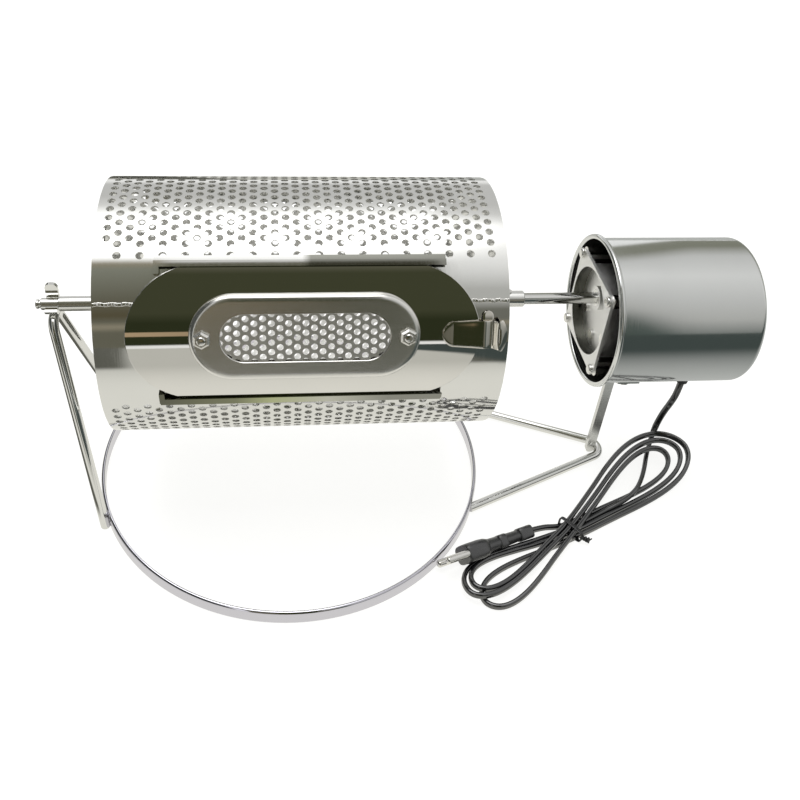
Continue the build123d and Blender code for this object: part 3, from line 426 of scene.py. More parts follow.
# Near black finish for the recess wall: painted shade.
recess_painted_shade = steel("recess_painted_shade", (0.10, 0.10, 0.085), 0.2, 0.08, AROUND_X, 1e-5)
weld_bead = steel("weld_bead", (0.88, 0.87, 0.84), 0.2, 0.1, EVEN, 0.0)
spring_steel = steel("spring_steel", (0.80, 0.77, 0.71), 0.06, 0.02, AROUND_X, 1e-5)
nut_plated = steel("nut_plated", (0.88, 0.87, 0.84), 0.26, 0.08, EVEN, 0.0)
# The two rail finishes get painted reflection below, a ramp over X.
top_rail_painted_reflection = steel("top_rail_painted_reflection", (0.80, 0.80, 0.78), 0.07, 0.03, AROUND_X, 1.5e-5, 0.02)
low_rail_painted_reflection = steel("low_rail_painted_reflection", (0.80, 0.80, 0.78), 0.09, 0.03, AROUND_X, 1.5e-5, 0.02)
print("lines per metre round the axle:", AROUND_X[0])

# %% [markdown]
# The two rails of the door carry painted reflection: the upper one is darker on its right half, and the
# lower one goes from near black through moss and straw to grey and dim steel. A ramp over X multiplies the
# colour of the finish. The inside of the drum gets light through its upper holes, more than a render with
# few bounces gathers, so its lowest third has a weak glow of its own: painted light, an emission.

# %% Painted rail reflections and painted inner light
RAIL_FROM, RAIL_TO = -0.113, 0.0125
BARE, RAIL_GREY, RAIL_DIM, RAIL_DARK = (1.0, 1.0, 1.0), (0.7, 0.7, 0.63), (0.36, 0.36, 0.33), (0.17, 0.17, 0.13)
MOSS, STRAW = (0.28, 0.29, 0.19), (0.58, 0.62, 0.37)
TOP_RAIL_REFLECTION = [(0.0, BARE), (0.49, BARE), (0.52, RAIL_DIM), (1.0, RAIL_DIM)]
LOW_RAIL_REFLECTION = [(0.0, RAIL_DARK), (0.25, MOSS), (0.38, STRAW), (0.58, RAIL_GREY), (0.8, RAIL_DIM), (1.0, RAIL_DIM)]
PAINTED_GLOW, PAINTED_GLOW_LEVEL, PAINTED_GLOW_FADE = (1.0, 0.985, 0.95, 1.0), 0.3, (0.092, 0.072)


def coordinate(tree, axis):
    """One of the Object coordinates of a point."""
    place = add(tree, "ShaderNodeTexCoord").outputs["Object"]
    return add(tree, "ShaderNodeSeparateXYZ", {"Vector": place}).outputs[axis]


def painted_reflection_tint(material, stops):
    """Painted reflection along the rail: a ramp over X that multiplies the colour of the finish."""
    tree = material.node_tree
    shader = tree.nodes["Principled BSDF"]
    own = shader.inputs["Base Color"].links[0].from_socket
    tint = ramp(tree, remap(tree, coordinate(tree, "X"), RAIL_FROM, RAIL_TO), stops)
    both = calc(tree, "MULTIPLY", own, tint, kind="ShaderNodeVectorMath")
    tree.links.new(both, shader.inputs["Base Color"])


def paint_light_below(material):
    """Painted light from the upper holes: an emission, none above the fade on Z, the full level below it."""
    tree = material.node_tree
    shader = tree.nodes["Principled BSDF"]
    share = zone(tree, coordinate(tree, "Z"), *PAINTED_GLOW_FADE)
    shader.inputs["Emission Color"].default_value = PAINTED_GLOW
    tree.links.new(calc(tree, "MULTIPLY", share, PAINTED_GLOW_LEVEL), shader.inputs["Emission Strength"])


painted_reflection_tint(top_rail_painted_reflection, TOP_RAIL_REFLECTION)
painted_reflection_tint(low_rail_painted_reflection, LOW_RAIL_REFLECTION)
# Painted light: the lowest third of the drum's inside glows by emission.
paint_light_below(drum_inside)
print("rails tinted over", round((RAIL_TO - RAIL_FROM) / MM, 1), "mm")

# %% [markdown]
# The cord, plug and bush are plastics: a dark base, a soft gloss, and a fine grain in the bump. The gloss
# is broken up by a broad noise, as handled plastic is.

# %% Plastic finishes
HANDLED_SCALE = 120.0
HANDLED_ROUGHNESS = (0.8, 1.25)
HANDLED_LIFT, HANDLED_DUST = 1.6, 0.004
CORD_GLOSS, PLUG_GLOSS = 2.1, 1.9


def plastic(name, colour, roughness, grain, grain_size, gloss=1.5):
    """Moulded plastic: faint blotches of colour, roughness moved by a broad noise, fine grain in the bump.

    gloss is the refractive index, which sets how much light the surface throws back."""
    material, tree, shader, place = new_material(name)
    broad = noise(tree, place, HANDLED_SCALE, 3.0)
    rough = remap(tree, broad, NOISE_LOW, NOISE_HIGH, *(roughness * share for share in HANDLED_ROUGHNESS))
    tint = blend_colours(tree, broad, colour, tuple(c * HANDLED_LIFT + HANDLED_DUST for c in colour))
    shader.inputs["IOR"].default_value = gloss
    dress(tree, shader, tint, rough, noise(tree, place, 1 / grain_size, 2.0), grain)
    return material


cord_black = plastic("cord_black", (0.003, 0.003, 0.004), 0.1, 4e-6, 0.0012, CORD_GLOSS)
plug_black = plastic("plug_black", (0.010, 0.010, 0.011), 0.28, 1e-5, 0.0008, PLUG_GLOSS)
bush_black = plastic("bush_black", (0.014, 0.014, 0.015), 0.42, 1e-5, 0.0008)
tie_black = plastic("tie_black", (0.016, 0.016, 0.017), 0.4, 1e-5, 0.0008)
wire_white = plastic("wire_white", (0.62, 0.62, 0.60), 0.4, 5e-6, 0.0008)
print("refractive index of cord and plug:", CORD_GLOSS, PLUG_GLOSS)

# %% [markdown]
# ## Shapes from arrays
# A few helpers carry the whole model. A grid of points becomes four-sided faces by index arithmetic. Rings
# of points carried along a path make a skin. A profile turned about an axis is the same skin with round
# rings. Blender's own cylinder and curve tools could make some of these, but an array keeps every size in
# sight.

# %% Grid helpers
def quads(rows, cols, wrap_rows=False, wrap_cols=False):
    """Corner indices of the faces of a grid; a wrapped side joins the last line of points to the first."""
    i = np.arange(rows if wrap_rows else rows - 1)[:, None]
    j = np.arange(cols if wrap_cols else cols - 1)[None, :]
    after_i, after_j = (i + 1) % rows, (j + 1) % cols
    corners = (i * cols + j, i * cols + after_j, after_i * cols + after_j, after_i * cols + j)
    return np.stack(np.broadcast_arrays(*corners), -1).reshape(-1, 4)


def skin(rings, closed=False):
    """Surface through closed rings of points; an open row of rings gets a flat face at its first and last."""
    rings = np.asarray(rings, float)
    rows, cols = rings.shape[:2]
    faces = quads(rows, cols, closed, True).tolist()
    if not closed:
        faces += [np.arange(cols)[::-1].tolist(), (np.arange(cols) + (rows - 1) * cols).tolist()]
    return rings.reshape(-1, 3), faces


def full_turn(steps):
    """Angles of equal steps round a circle, without the last, which is the first again."""
    return np.linspace(0, 2 * np.pi, steps, endpoint=False)


def turn(profile, segments):
    """Rings of a profile of (x, radius) pairs turned about the X axis."""
    profile = np.asarray(profile, float)
    angle = full_turn(segments)
    x = np.repeat(profile[:, :1], segments, 1)
    return np.stack([x, profile[:, 1:] * np.sin(angle), profile[:, 1:] * np.cos(angle)], -1)


def arc(centre, radius, start, end, steps=8):
    """Points on a circle from one angle to another, in degrees."""
    a = np.radians(np.linspace(start, end, steps + 1))
    return np.stack([centre[0] + radius * np.cos(a), centre[1] + radius * np.sin(a)], -1)


def joined(*shapes):
    """Several shapes as one list of points and faces."""
    points, faces, start = [], [], 0
    for shape_points, shape_faces in shapes:
        points.append(shape_points)
        faces += [[corner + start for corner in face] for face in shape_faces]
        start += len(shape_points)
    return np.concatenate(points), faces


print("a square of four points has", len(quads(2, 2)), "face")

# %% [markdown]
# A piece gets its mesh, finish and body in one call, and says which CAD nodes it stands for. Rolled
# sheet is made of flat faces, so its corners take the direction of the true cylinder, which a mirror finish
# needs.

# %% Piece helpers
MERGE, SLIVER, TINY = 2e-6, 1e-7, 1e-9
LOOKS_OUT, LOOKS_IN, LOOKS_LEFT = 0.97, -0.3, -0.9
UP = np.array([0.0, 0.0, 1.0])


def piece(name, shape, body, finish, stands_for=(), sharp=35):
    """Makes a Blender piece of points in millimetres and faces, with doubles merged and normals outwards."""
    points, faces = shape
    mesh = bpy.data.meshes.new(name)
    mesh.from_pydata((np.asarray(points) * MM).tolist(), [], faces)
    work = bmesh.new()
    work.from_mesh(mesh)
    bmesh.ops.remove_doubles(work, verts=work.verts, dist=MERGE)
    bmesh.ops.dissolve_degenerate(work, edges=work.edges, dist=SLIVER)
    bmesh.ops.recalc_face_normals(work, faces=work.faces)
    work.to_mesh(mesh)
    work.free()
    mesh.shade_smooth()
    mesh.set_sharp_from_angle(angle=math.radians(sharp))
    mesh.materials.append(finish)
    made = bpy.data.objects.new(name, mesh)
    bpy.context.scene.collection.objects.link(made)
    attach(made, body)
    if stands_for:
        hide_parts(*stands_for)
    return made


def moved(shape, x=0.0, z=0.0):
    """Shape moved along X and Z."""
    return shape[0] + np.array([x, 0.0, z]), shape[1]


def read(items, field, width, kind=float):
    """One field of all the items of a Blender collection, as rows of an array."""
    values = np.empty(len(items) * width, kind)
    items.foreach_get(field, values)
    return values.reshape(-1, width)


def true_round(made, centre, hollow=0.0):
    """Shades a sheet rolled about X as a true cylinder: corners of faces that look out from the axis, or in
    to it, take the exact radial direction. A hollow sheet also leans to its middle, by hollow times X."""
    mesh = made.data
    corner = read(mesh.loops, "vertex_index", 1, np.int32)[:, 0]
    corners_of_face = read(mesh.polygons, "loop_total", 1, np.int32)[:, 0]
    facing = np.repeat(read(mesh.polygons, "normal", 3), corners_of_face, 0)
    place = read(mesh.vertices, "co", 3) / MM - np.asarray(centre)
    radial = place * np.array([0.0, 1.0, 1.0])
    radial /= np.linalg.norm(radial, axis=1, keepdims=True) + TINY
    radial[:, 0] = -hollow * place[:, 0]
    radial = radial[corner]
    agree = (facing * radial).sum(1)
    normals = radial * np.sign(agree)[:, None] * (np.abs(agree) > LOOKS_OUT)[:, None]
    mesh.normals_split_custom_set(normals.tolist())


def finish_inside(made, finish, height, beyond=-np.inf):
    """Gives a tube along X a second finish inside: on faces that look in to its axis at the given height, and
    on the inner face of a closed end, as far as they lie beyond a place on X."""
    mesh = made.data
    mesh.materials.append(finish)
    centre = read(mesh.polygons, "center", 3) / MM - height * UP
    facing = read(mesh.polygons, "normal", 3)
    inward = (centre[:, 1:] * facing[:, 1:]).sum(1) < LOOKS_IN * np.hypot(centre[:, 1], centre[:, 2])
    inward = (inward | (facing[:, 0] < LOOKS_LEFT)) & (centre[:, 0] > beyond)
    mesh.polygons.foreach_set("material_index", inward.astype(np.int32))


def span(node):
    """Lowest and highest corner of a CAD node at rest, in millimetres."""
    low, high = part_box(node)
    return np.array(low) / MM, np.array(high) / MM


print("base ring spans", *(corner.round(1) for corner in span("base_ring")), "mm")

# %% [markdown]
# ## Cord
# The mains lead is a flat twin cord that drops from the bush under the motor to the table and is tied in a
# bow with three turns on each side. The lead and the end at the plug follow listed points. A turn of
# the bow could be drawn by hand too, but it has a rule: it leaves the tie, runs out by the sine of a half
# circle while it swings to one side and back by the sine of a full circle, and comes back to its next slot
# in the tie. So each turn is a teardrop with a reach, a heading and a swing out and back. Left turns and
# right turns alternate.

# %% Cord route
LOW, HIGH = 1.95, 5.85
LEAD = [
    (168.4, 0, 55.7), (168.4, 0, 46.5), (169.2, 4.0, 34.5), (170.2, 9.4, 21.5), (168.4, 9.6, 9.0),
    (163.2, 1.0, 2.4), (158.2, -8.0, LOW), (154.0, -17.0, LOW), (148.2, -27.1, 3.3), (139.6, -38.9, 6.9),
    (129.6, -45.0, 5.4), (118.3, -48.9, 2.5), (107.3, -54.2, LOW),
]
PLUG_END = [(88.2, -58.0, 2.3), (80.5, -58.9, 3.9), (71.5, -61.9, 4.8)]
WAIST = (95.7, -61.0)
LOW_ROW, HIGH_ROW = (-0.32, 0.945), (-0.75, 0.66)
LOW_SLOTS, HIGH_SLOTS = (1.5, -1.5, -4.5, 4.5), (0.0, 3.0, -3.0)
LEFT_TURNS = [
    dict(reach=74.5, heading=210.8, out=-12.0, back=-9.0, climb=(0.12, 0.50), hump=0.6),
    dict(reach=69.0, heading=209.5, out=-10.0, back=-9.0, climb=(0.06, 0.42), hump=0.4),
    dict(reach=69.0, heading=213.7, out=-10.0, back=-10.0, climb=(0.62, 0.98), hump=0.0),
]
RIGHT_TURNS = [
    dict(reach=97.5, heading=34.6, out=15.0, back=11.0, climb=(0.32, 0.70), hump=4.4),
    dict(reach=102.5, heading=34.0, out=19.0, back=12.5, climb=(0.32, 0.74), hump=5.8),
    dict(reach=88.5, heading=35.0, out=11.5, back=10.5, climb=(0.30, 0.66), hump=3.0),
]
TURN_STEPS = 14
TIP_ROUNDING = 0.8


def tie_slot(row, offset, height):
    """Place in the tie: an offset from the waist along the low or the high row of strands."""
    return np.array([*(np.array(WAIST) + offset * np.array(row)), height])


def turn_of_bow(enter, leave, reach, heading, out, back, climb, hump):
    """Teardrop from one slot of the tie to the next; it changes height in the climb and humps over others."""
    u = np.linspace(0, 1, TURN_STEPS, endpoint=False)
    ahead = np.array([math.cos(math.radians(heading)), math.sin(math.radians(heading))])
    swing = np.sin(2 * np.pi * u) * np.where(u < 0.5, out, back)
    run = reach * np.sin(np.pi * u) ** TIP_ROUNDING
    share = np.clip((u - climb[0]) / (climb[1] - climb[0]), 0, 1)
    points = enter + (leave - enter) * u[:, None]
    points[:, :2] += run[:, None] * ahead + swing[:, None] * np.array([-ahead[1], ahead[0]])
    points[:, 2] = enter[2] + (leave - enter)[2] * share**2 * (3 - 2 * share) + hump * np.sin(np.pi * u) ** 4
    return points


def cord_route():
    """Lead, then left and right turns in pairs, then the end at the plug."""
    low = [tie_slot(LOW_ROW, offset, LOW) for offset in LOW_SLOTS]
    high = [tie_slot(HIGH_ROW, offset, HIGH) for offset in HIGH_SLOTS]
    turns = []
    for k, (left, right) in enumerate(zip(LEFT_TURNS, RIGHT_TURNS)):
        turns += [turn_of_bow(low[k], high[k], **left), turn_of_bow(high[k], low[k + 1], **right)]
    return np.concatenate([LEAD, *turns, low[-1:], PLUG_END])


ROUTE = cord_route()
print("route:", len(ROUTE), "points")

# %% [markdown]
# The points of the route are the control points of a smooth spline. A spline could be written out in numpy
# too, but Blender has one, so a curve is made for a moment and its points are read.

# %% Cord line
STEPS_PER_POINT = 8


def spline_points(route):
    """Points of the smooth spline that has the route as its control points, in millimetres."""
    curve = bpy.data.curves.new("route", "CURVE")
    curve.dimensions = "3D"
    spline = curve.splines.new("NURBS")
    spline.points.add(len(route) - 1)
    control = np.concatenate([np.array(route, float) * MM, np.ones((len(route), 1))], 1)
    spline.points.foreach_set("co", control.ravel())
    spline.order_u = 3
    spline.use_endpoint_u = True
    spline.resolution_u = STEPS_PER_POINT
    carrier = bpy.data.objects.new("route", curve)
    mesh = bpy.data.meshes.new_from_object(carrier)
    points = read(mesh.vertices, "co", 3) / MM
    bpy.data.objects.remove(carrier)
    bpy.data.curves.remove(curve)
    bpy.data.meshes.remove(mesh)
    return points


def length_of(points):
    """Sum of the steps from point to point."""
    return np.linalg.norm(np.diff(points, axis=0), axis=1).sum()


cord_line = spline_points(ROUTE)
print("cord:", len(cord_line), "points,", round(length_of(cord_line)), "mm long")

# %% [markdown]
# The section is two round wires side by side, and it stands on its edge where it lies on the table, as the
# turns of a tied hank do. Where the lead hangs, its width turns level.

# %% Cord piece
WIRE_RADIUS = 1.28
CORD_WIDTH = 3.8
HANG_ACROSS = np.array([0.8, -0.6, 0.0])


def unit(vectors):
    """Vectors at length one."""
    return vectors / np.linalg.norm(vectors, axis=-1, keepdims=True)


def twin_section(steps=9):
    """Outline of two overlapping circles, as (width, thickness) pairs."""
    offset = CORD_WIDTH / 2 - WIRE_RADIUS
    open_angle = math.degrees(math.acos(offset / WIRE_RADIUS))
    right = arc((offset, 0), WIRE_RADIUS, open_angle - 180, 180 - open_angle, steps)
    return np.concatenate([right, -right])


def carry(line, section, width_axis):
    """Rings of a section carried along a line: its width lies along width_axis, made square to the line."""
    along = unit(np.gradient(line, axis=0))
    width = unit(width_axis - (width_axis * along).sum(1, keepdims=True) * along)
    depth = np.cross(along, width)
    return line[:, None] + section[None, :, :1] * width[:, None] + section[None, :, 1:] * depth[:, None]


def cord_width_axis(line):
    """Upright where the line is level, level where it hangs."""
    drop = np.abs(unit(np.gradient(line, axis=0))[:, 2:])
    return (1 - drop**2) * UP + drop**2 * HANG_ACROSS


cord_rings = carry(cord_line, twin_section(), cord_width_axis(cord_line))
cord = piece(
    "mains_cord", skin(cord_rings), "stand", cord_black, ("cord_lead", "cord_hank"), sharp=60
)
print("cord faces:", len(cord.data.polygons))

# %% [markdown]
# ## Plug, bush and tie
# The plug is one moulding: a rounded body with two pins, and a slim strain relief with two boxy ribs. It
# could be carved out of a box, but body and ribs are rounded rectangles carried along the plug's axis, and
# the relief's core is a turned profile on it, so each size can be read off.

# %% Plug frame
PLUG_FACE = np.array([31.8, -78.8, 9.0])
PLUG_HEADING, PLUG_PITCH, PLUG_ROLL = math.radians(22.5), math.radians(5.5), math.radians(58.6)
PLUG_HALF = (7.6, 5.1)
PLUG_LENGTH = 15.0
PIN_RADIUS, PIN_LENGTH, PIN_SPACING = 2.0, 13.0, 11.0
PIN_ROOT, PIN_TIP = 0.5, 1.4
RELIEF = [(13.6, 4.7), (15.4, 4.2), (17.0, 3.7), (44.0, 2.7)]
RIBS = ((22.5, 27.5, 3.7), (36.0, 44.6, 3.6))
RELIEF_SEGMENTS, PIN_SEGMENTS = 32, 24
RIB_EDGE = ((0.0, 0.86), (0.3, 0.95), (0.8, 1.0))


def plug_axes():
    """Unit vectors of the plug: back along the cord, through the pins, and square to both."""
    back = np.array([
        math.cos(PLUG_PITCH) * math.cos(PLUG_HEADING), math.cos(PLUG_PITCH) * math.sin(PLUG_HEADING),
        -math.sin(PLUG_PITCH),
    ])
    level = np.array([-math.sin(PLUG_HEADING), math.cos(PLUG_HEADING), 0.0])
    upright = np.cross(back, level)
    pins = level * math.cos(PLUG_ROLL) - upright * math.sin(PLUG_ROLL)
    return np.stack([back, pins, np.cross(back, pins)])


def on_plug(local):
    """Points of the plug's own frame in the roaster's frame."""
    return PLUG_FACE + np.asarray(local) @ plug_axes()


def rounded_box(half_width, half_height, power=4.0, steps=48):
    """Superellipse: a rectangle whose corners are rounded by a high power."""
    a = full_turn(steps)
    c, s = np.cos(a), np.sin(a)
    size = (np.abs(c) ** power + np.abs(s) ** power) ** (-1 / power)
    return np.stack([half_width * c * size, half_height * s * size], -1)


def boxes_on_plug(stations, half_width, half_height):
    """Rounded rectangles along the axis at (place, share of the full size) stations."""
    stations = np.asarray(stations)
    outline = rounded_box(half_width, half_height)
    rings = np.concatenate([
        np.repeat(stations[:, :1, None], len(outline), 1), stations[:, 1:, None] * outline[None]
    ], -1)
    points, faces = skin(rings)
    return on_plug(points), faces


def turned_on_plug(profile, segments, offset=0.0):
    """Turned profile on the plug's axis, moved along the line of the pins."""
    points, faces = skin(turn(profile, segments))
    return on_plug(points + np.array([0.0, offset, 0.0])), faces


print("end of the relief, mm:", on_plug([[RIBS[-1][1], 0, 0]]).round(1))

# %% [markdown]
# Body, relief and ribs are one moulding, so they are joined to one piece. The pins are plated steel and a
# piece of their own, with rounded tips.

# %% Plug pieces
def plug_body():
    """Body that is a little smaller at its face and drawn in at its back."""
    back = PLUG_LENGTH
    return boxes_on_plug([
        (0.0, 0.90), (0.35, 0.955), (1.0, 0.985), (2.5, 1.0), (back - 6, 0.99), (back - 3, 0.93),
        (back - 1.2, 0.82), (back - 0.3, 0.68), (back, 0.5),
    ], *PLUG_HALF)


def plug_rib(first, last, half):
    """Boxy rib with soft edges."""
    front = [(first + inset, share) for inset, share in RIB_EDGE]
    rear = [(last - inset, share) for inset, share in RIB_EDGE[::-1]]
    return boxes_on_plug(front + rear, half, half)


plug = piece(
    "plug",
    joined(plug_body(), turned_on_plug(RELIEF, RELIEF_SEGMENTS), *(plug_rib(*rib) for rib in RIBS)),
    "stand", plug_black, ("plug_body",),
)
pin_profile = np.concatenate([
    [(PIN_ROOT, PIN_RADIUS)], arc((PIN_TIP - PIN_LENGTH, PIN_RADIUS - PIN_TIP), PIN_TIP, 90, 180, 5),
    [(-PIN_LENGTH, 0.0)],
])
pins = piece(
    "plug_prongs",
    joined(*(turned_on_plug(pin_profile, PIN_SEGMENTS, side * PIN_SPACING / 2) for side in (-1, 1))),
    "stand", plated, ("plug_pins",),
)
print("plug faces:", len(plug.data.polygons), "pin faces:", len(pins.data.polygons))

# %% [markdown]
# The bush is a turned profile that hangs from the cup, with a collar in the cup's wall. The tie is a flat
# band round the waist of the bow; its two ends are twisted about each other, so each is a strip on a
# spiral.

# %% Bush and tie
BUSH_TOP, BUSH_TIP, BUSH_BORE, BUSH_BEVEL = 4.2, 3.2, 2.0, 0.4
BUSH_TAPER, BUSH_COLLAR = 0.15, 0.9
BUSH_SEGMENTS = 32
BUSH_NECK, COLLAR_LOW, COLLAR_HIGH, BUSH_END = -2.0, -1.4, 0.6, 1.0
TIE_CENTRE = np.array([*WAIST, 3.95])
TIE_HEADING = math.radians(36.0)
TIE_HALF = (7.6, 3.8)
TIE_WIDTH, TIE_THICKNESS, TIE_POWER, TIE_STEPS = 2.2, 0.5, 5, 120
KNOT_REACH, KNOT_TURNS, KNOT_RADIUS = 5.5, 1.6, 0.9
KNOT_SINK, KNOT_HEIGHT = 0.4, 0.6
KNOT_OPENING = (0.55, 0.6)
KNOT_STRIP = (0.8, 0.35)
KNOT_STEPS = 40
TIE_ALONG = np.array([math.cos(TIE_HEADING), math.sin(TIE_HEADING), 0.0])
TIE_ACROSS = np.array([-math.sin(TIE_HEADING), math.cos(TIE_HEADING), 0.0])
KNOT_ROOT = TIE_CENTRE - TIE_ACROSS * (TIE_HALF[0] - KNOT_SINK) + UP * KNOT_HEIGHT
KNOT_LEAN = -0.75 * TIE_ACROSS + 0.5 * TIE_ALONG - 0.25 * UP
bush_low, bush_high = span("cord_grommet")
cup_low, cup_high = span("motor_cup")
bush_tip, under_cup = bush_low[2], cup_low[2]


def turned_upright(profile, segments, x, closed=False):
    """Profile of (height, radius) pairs turned about an upright line at a place on X."""
    points, faces = skin(turn(profile, segments), closed)
    return moved((points[:, [2, 1, 0]], faces), x=x)


bush_profile = [
    (bush_tip, BUSH_BORE), (bush_tip, BUSH_TIP - BUSH_BEVEL), (bush_tip + BUSH_BEVEL, BUSH_TIP),
    (under_cup + BUSH_NECK, BUSH_TOP - BUSH_TAPER), (under_cup + COLLAR_LOW, BUSH_TOP + BUSH_COLLAR),
    (under_cup + COLLAR_HIGH, BUSH_TOP + BUSH_COLLAR), (under_cup + BUSH_END, BUSH_BORE),
]
bush_x = (bush_low[0] + bush_high[0]) / 2
bush = piece(
    "cord_bush", turned_upright(bush_profile, BUSH_SEGMENTS, bush_x), "stand", bush_black,
    ("cord_grommet",),
)


def tie_band():
    """Flat band carried round the waist of the bow on a rounded rectangle."""
    a = full_turn(TIE_STEPS)[:, None]
    outward = np.cos(a) * TIE_ACROSS + np.sin(a) * UP
    place = rounded_box(*TIE_HALF, power=TIE_POWER, steps=TIE_STEPS)
    line = TIE_CENTRE + place[:, :1] * TIE_ACROSS + place[:, 1:] * UP
    section = rounded_box(TIE_WIDTH / 2, TIE_THICKNESS / 2, steps=16)
    rings = line[:, None] + section[None, :, :1] * TIE_ALONG + section[None, :, 1:] * outward[:, None]
    return skin(rings, closed=True)


def tie_end(phase):
    """One twisted end: a thin strip that winds about its partner as it leaves the near side of the band."""
    u = np.linspace(0, 1, KNOT_STEPS)[:, None]
    a = phase + 2 * np.pi * KNOT_TURNS * u
    opening = KNOT_RADIUS * (KNOT_OPENING[0] + KNOT_OPENING[1] * u)
    line = KNOT_ROOT + KNOT_REACH * u * KNOT_LEAN + opening * (np.cos(a) * TIE_ALONG + np.sin(a) * UP)
    return skin(carry(line, rounded_box(*KNOT_STRIP, steps=12), TIE_ALONG))


tie = piece(
    "cord_band", joined(tie_band(), tie_end(0.0), tie_end(np.pi)), "stand", tie_black,
    ("cord_tie",),
)

# %% [markdown]
# ## Drum skin
# The drum is a tube rolled from perforated sheet with a plain band for the door. A boolean could punch two
# thousand holes, but it would leave ragged faces. Here each hole is a cell of a regular grid: twelve points
# on the edge of the cell joined to twelve points on the hole. Cells of neighbouring columns are staggered
# by half a cell, and they share their edge points, so the sheet is one closed skin.

# %% Drum sizes
drum_low, drum_high = span("drum_shell")
DRUM_X = (drum_low[0] + drum_high[0]) / 2
DRUM_HALF = (drum_high[0] - drum_low[0]) / 2
DRUM_RADIUS = (drum_high[1] - drum_low[1]) / 2
AXIS_HEIGHT = (drum_low[2] + drum_high[2]) / 2
AXLE_PLACE = (DRUM_X, 0.0, AXIS_HEIGHT)
SHEET = 0.8
DOOR_ELEVATION = 22.9
DOOR_TILT = math.radians(90 - DOOR_ELEVATION)
HOLE_RADIUS = 1.82
COLUMN_STEPS = 4
COLUMNS = 36
STEP_X = 1.21
FIRST_X = -87.96
STEP_ANGLE = 2.565
FIRST_ANGLE = 30.535
HALF_ROWS = 116
FEED_STRAIGHT, FEED_RADIUS = 44.0, 22.0
BAND_ROWS = 5
PLAIN_ROWS = 3
RIM_BEVEL, RIM_DROP = 0.8, 0.14


def from_drum(local):
    """Points from the drum's own frame, with the door on top, to the roaster's frame."""
    x, y, z = np.moveaxis(np.asarray(local, float), -1, 0)
    c, s = math.cos(DOOR_TILT), math.sin(DOOR_TILT)
    return np.stack([x + DRUM_X, y * c - z * s, AXIS_HEIGHT + y * s + z * c], -1)


def rolled(x, angle, radius):
    """Points on a cylinder about the drum's axis; the angle is in degrees from the middle of the door."""
    a = np.radians(angle)
    return np.stack([x + 0 * a, radius * np.sin(a) + 0 * x, radius * np.cos(a) + 0 * x], -1)


print("drum, mm:", round(2 * DRUM_HALF, 1), "long,", round(2 * DRUM_RADIUS, 1), "across")

# %% [markdown]
# A cell is four steps wide and two high. Its edge points lie on the steps, so they are the same for
# neighbours and are merged when the cells are put together. A flat sheet gets its thickness from a second
# copy of its points and a wall along every open edge, which gives the holes their walls too.

# %% Perforated cells
CELL_EDGE = np.array([
    (4, 1), (4, 2), (3, 2), (2, 2), (1, 2), (0, 2), (0, 1), (0, 0), (1, 0), (2, 0), (3, 0), (4, 0)
])


def cell_faces(corner_columns, corner_rows, step, hole_radius):
    """Flat points and faces of holed cells: twelve edge points and twelve hole points each.

    step is the size of a grid step in the two directions; the hole is a circle about the cell's middle."""
    corner = np.stack([corner_columns, corner_rows], -1)[:, None, :]
    edge = (corner + CELL_EDGE) * step
    middle = (corner + np.array([2, 1])) * step
    count = len(CELL_EDGE)
    points = np.concatenate([edge, middle + arc((0, 0), hole_radius, 0, 360, count)[:-1]], 1)
    k = np.arange(count)
    after = (k + 1) % count
    ring = np.stack([k, after, after + count, k + count], -1)
    faces = ring[None] + 2 * count * np.arange(len(points))[:, None, None]
    return points.reshape(-1, 2), faces.reshape(-1, 4)


def holed_cells(sets, start, step, hole_radius):
    """Holed cells for sets of columns and rows, moved to the start of the sheet."""
    sheets = []
    for columns, rows in sets:
        column, row = (grid.ravel() for grid in np.meshgrid(columns, rows))
        flat, faces = cell_faces(column, row, step, hole_radius)
        sheets.append((flat + start, faces))
    return sheets


def plain_faces(u, v):
    """Flat points and faces of a plain grid of u by v lines; u and v are arrays of the same grid shape."""
    return np.stack([u, v], -1).reshape(-1, 2), quads(*u.shape)


def filled_ends(columns, spans, start, step):
    """Plain cells that fill the staggered columns between a low and a high row at each end of the sheet."""
    sheets = []
    for low, high in spans:
        for column in columns:
            u, v = np.meshgrid(column + np.arange(COLUMN_STEPS + 1), np.arange(low, high + 1), indexing="ij")
            sheets.append(plain_faces(start[0] + u * step[0], start[1] + v * step[1]))
    return sheets


def sheet_of(flat_shapes):
    """One list of flat points and faces with equal points merged."""
    points, faces, start = [], [], 0
    for flat, corners in flat_shapes:
        points.append(flat)
        faces.append(corners + start)
        start += len(flat)
    points = np.concatenate(points)
    _, first, inverse = np.unique(np.round(points, 4), axis=0, return_index=True, return_inverse=True)
    return points[first], inverse.reshape(-1)[np.concatenate(faces)]


def thick_sheet(outer, inner, faces):
    """Outer faces, inner faces the other way round, and a wall along every edge that only one face uses."""
    count = len(outer)
    edges = np.stack([faces, np.roll(faces, -1, 1)], -1).reshape(-1, 2)
    key = np.sort(edges, 1)
    _, first, uses = np.unique(key, axis=0, return_index=True, return_counts=True)
    rim = edges[first[uses == 1]]
    walls = np.stack([rim[:, 1], rim[:, 0], rim[:, 0] + count, rim[:, 1] + count], -1)
    every = np.concatenate([faces, faces[:, ::-1] + count, walls])
    return np.concatenate([outer, inner]), every.tolist()


print("points of a cell:", 2 * len(CELL_EDGE))

# %% [markdown]
# The sheet is laid out flat, with X along the axis and the arc length around it, and then rolled. Next to
# the perforated rows come the plain bands above and below the feed opening, whose edge is a stadium.

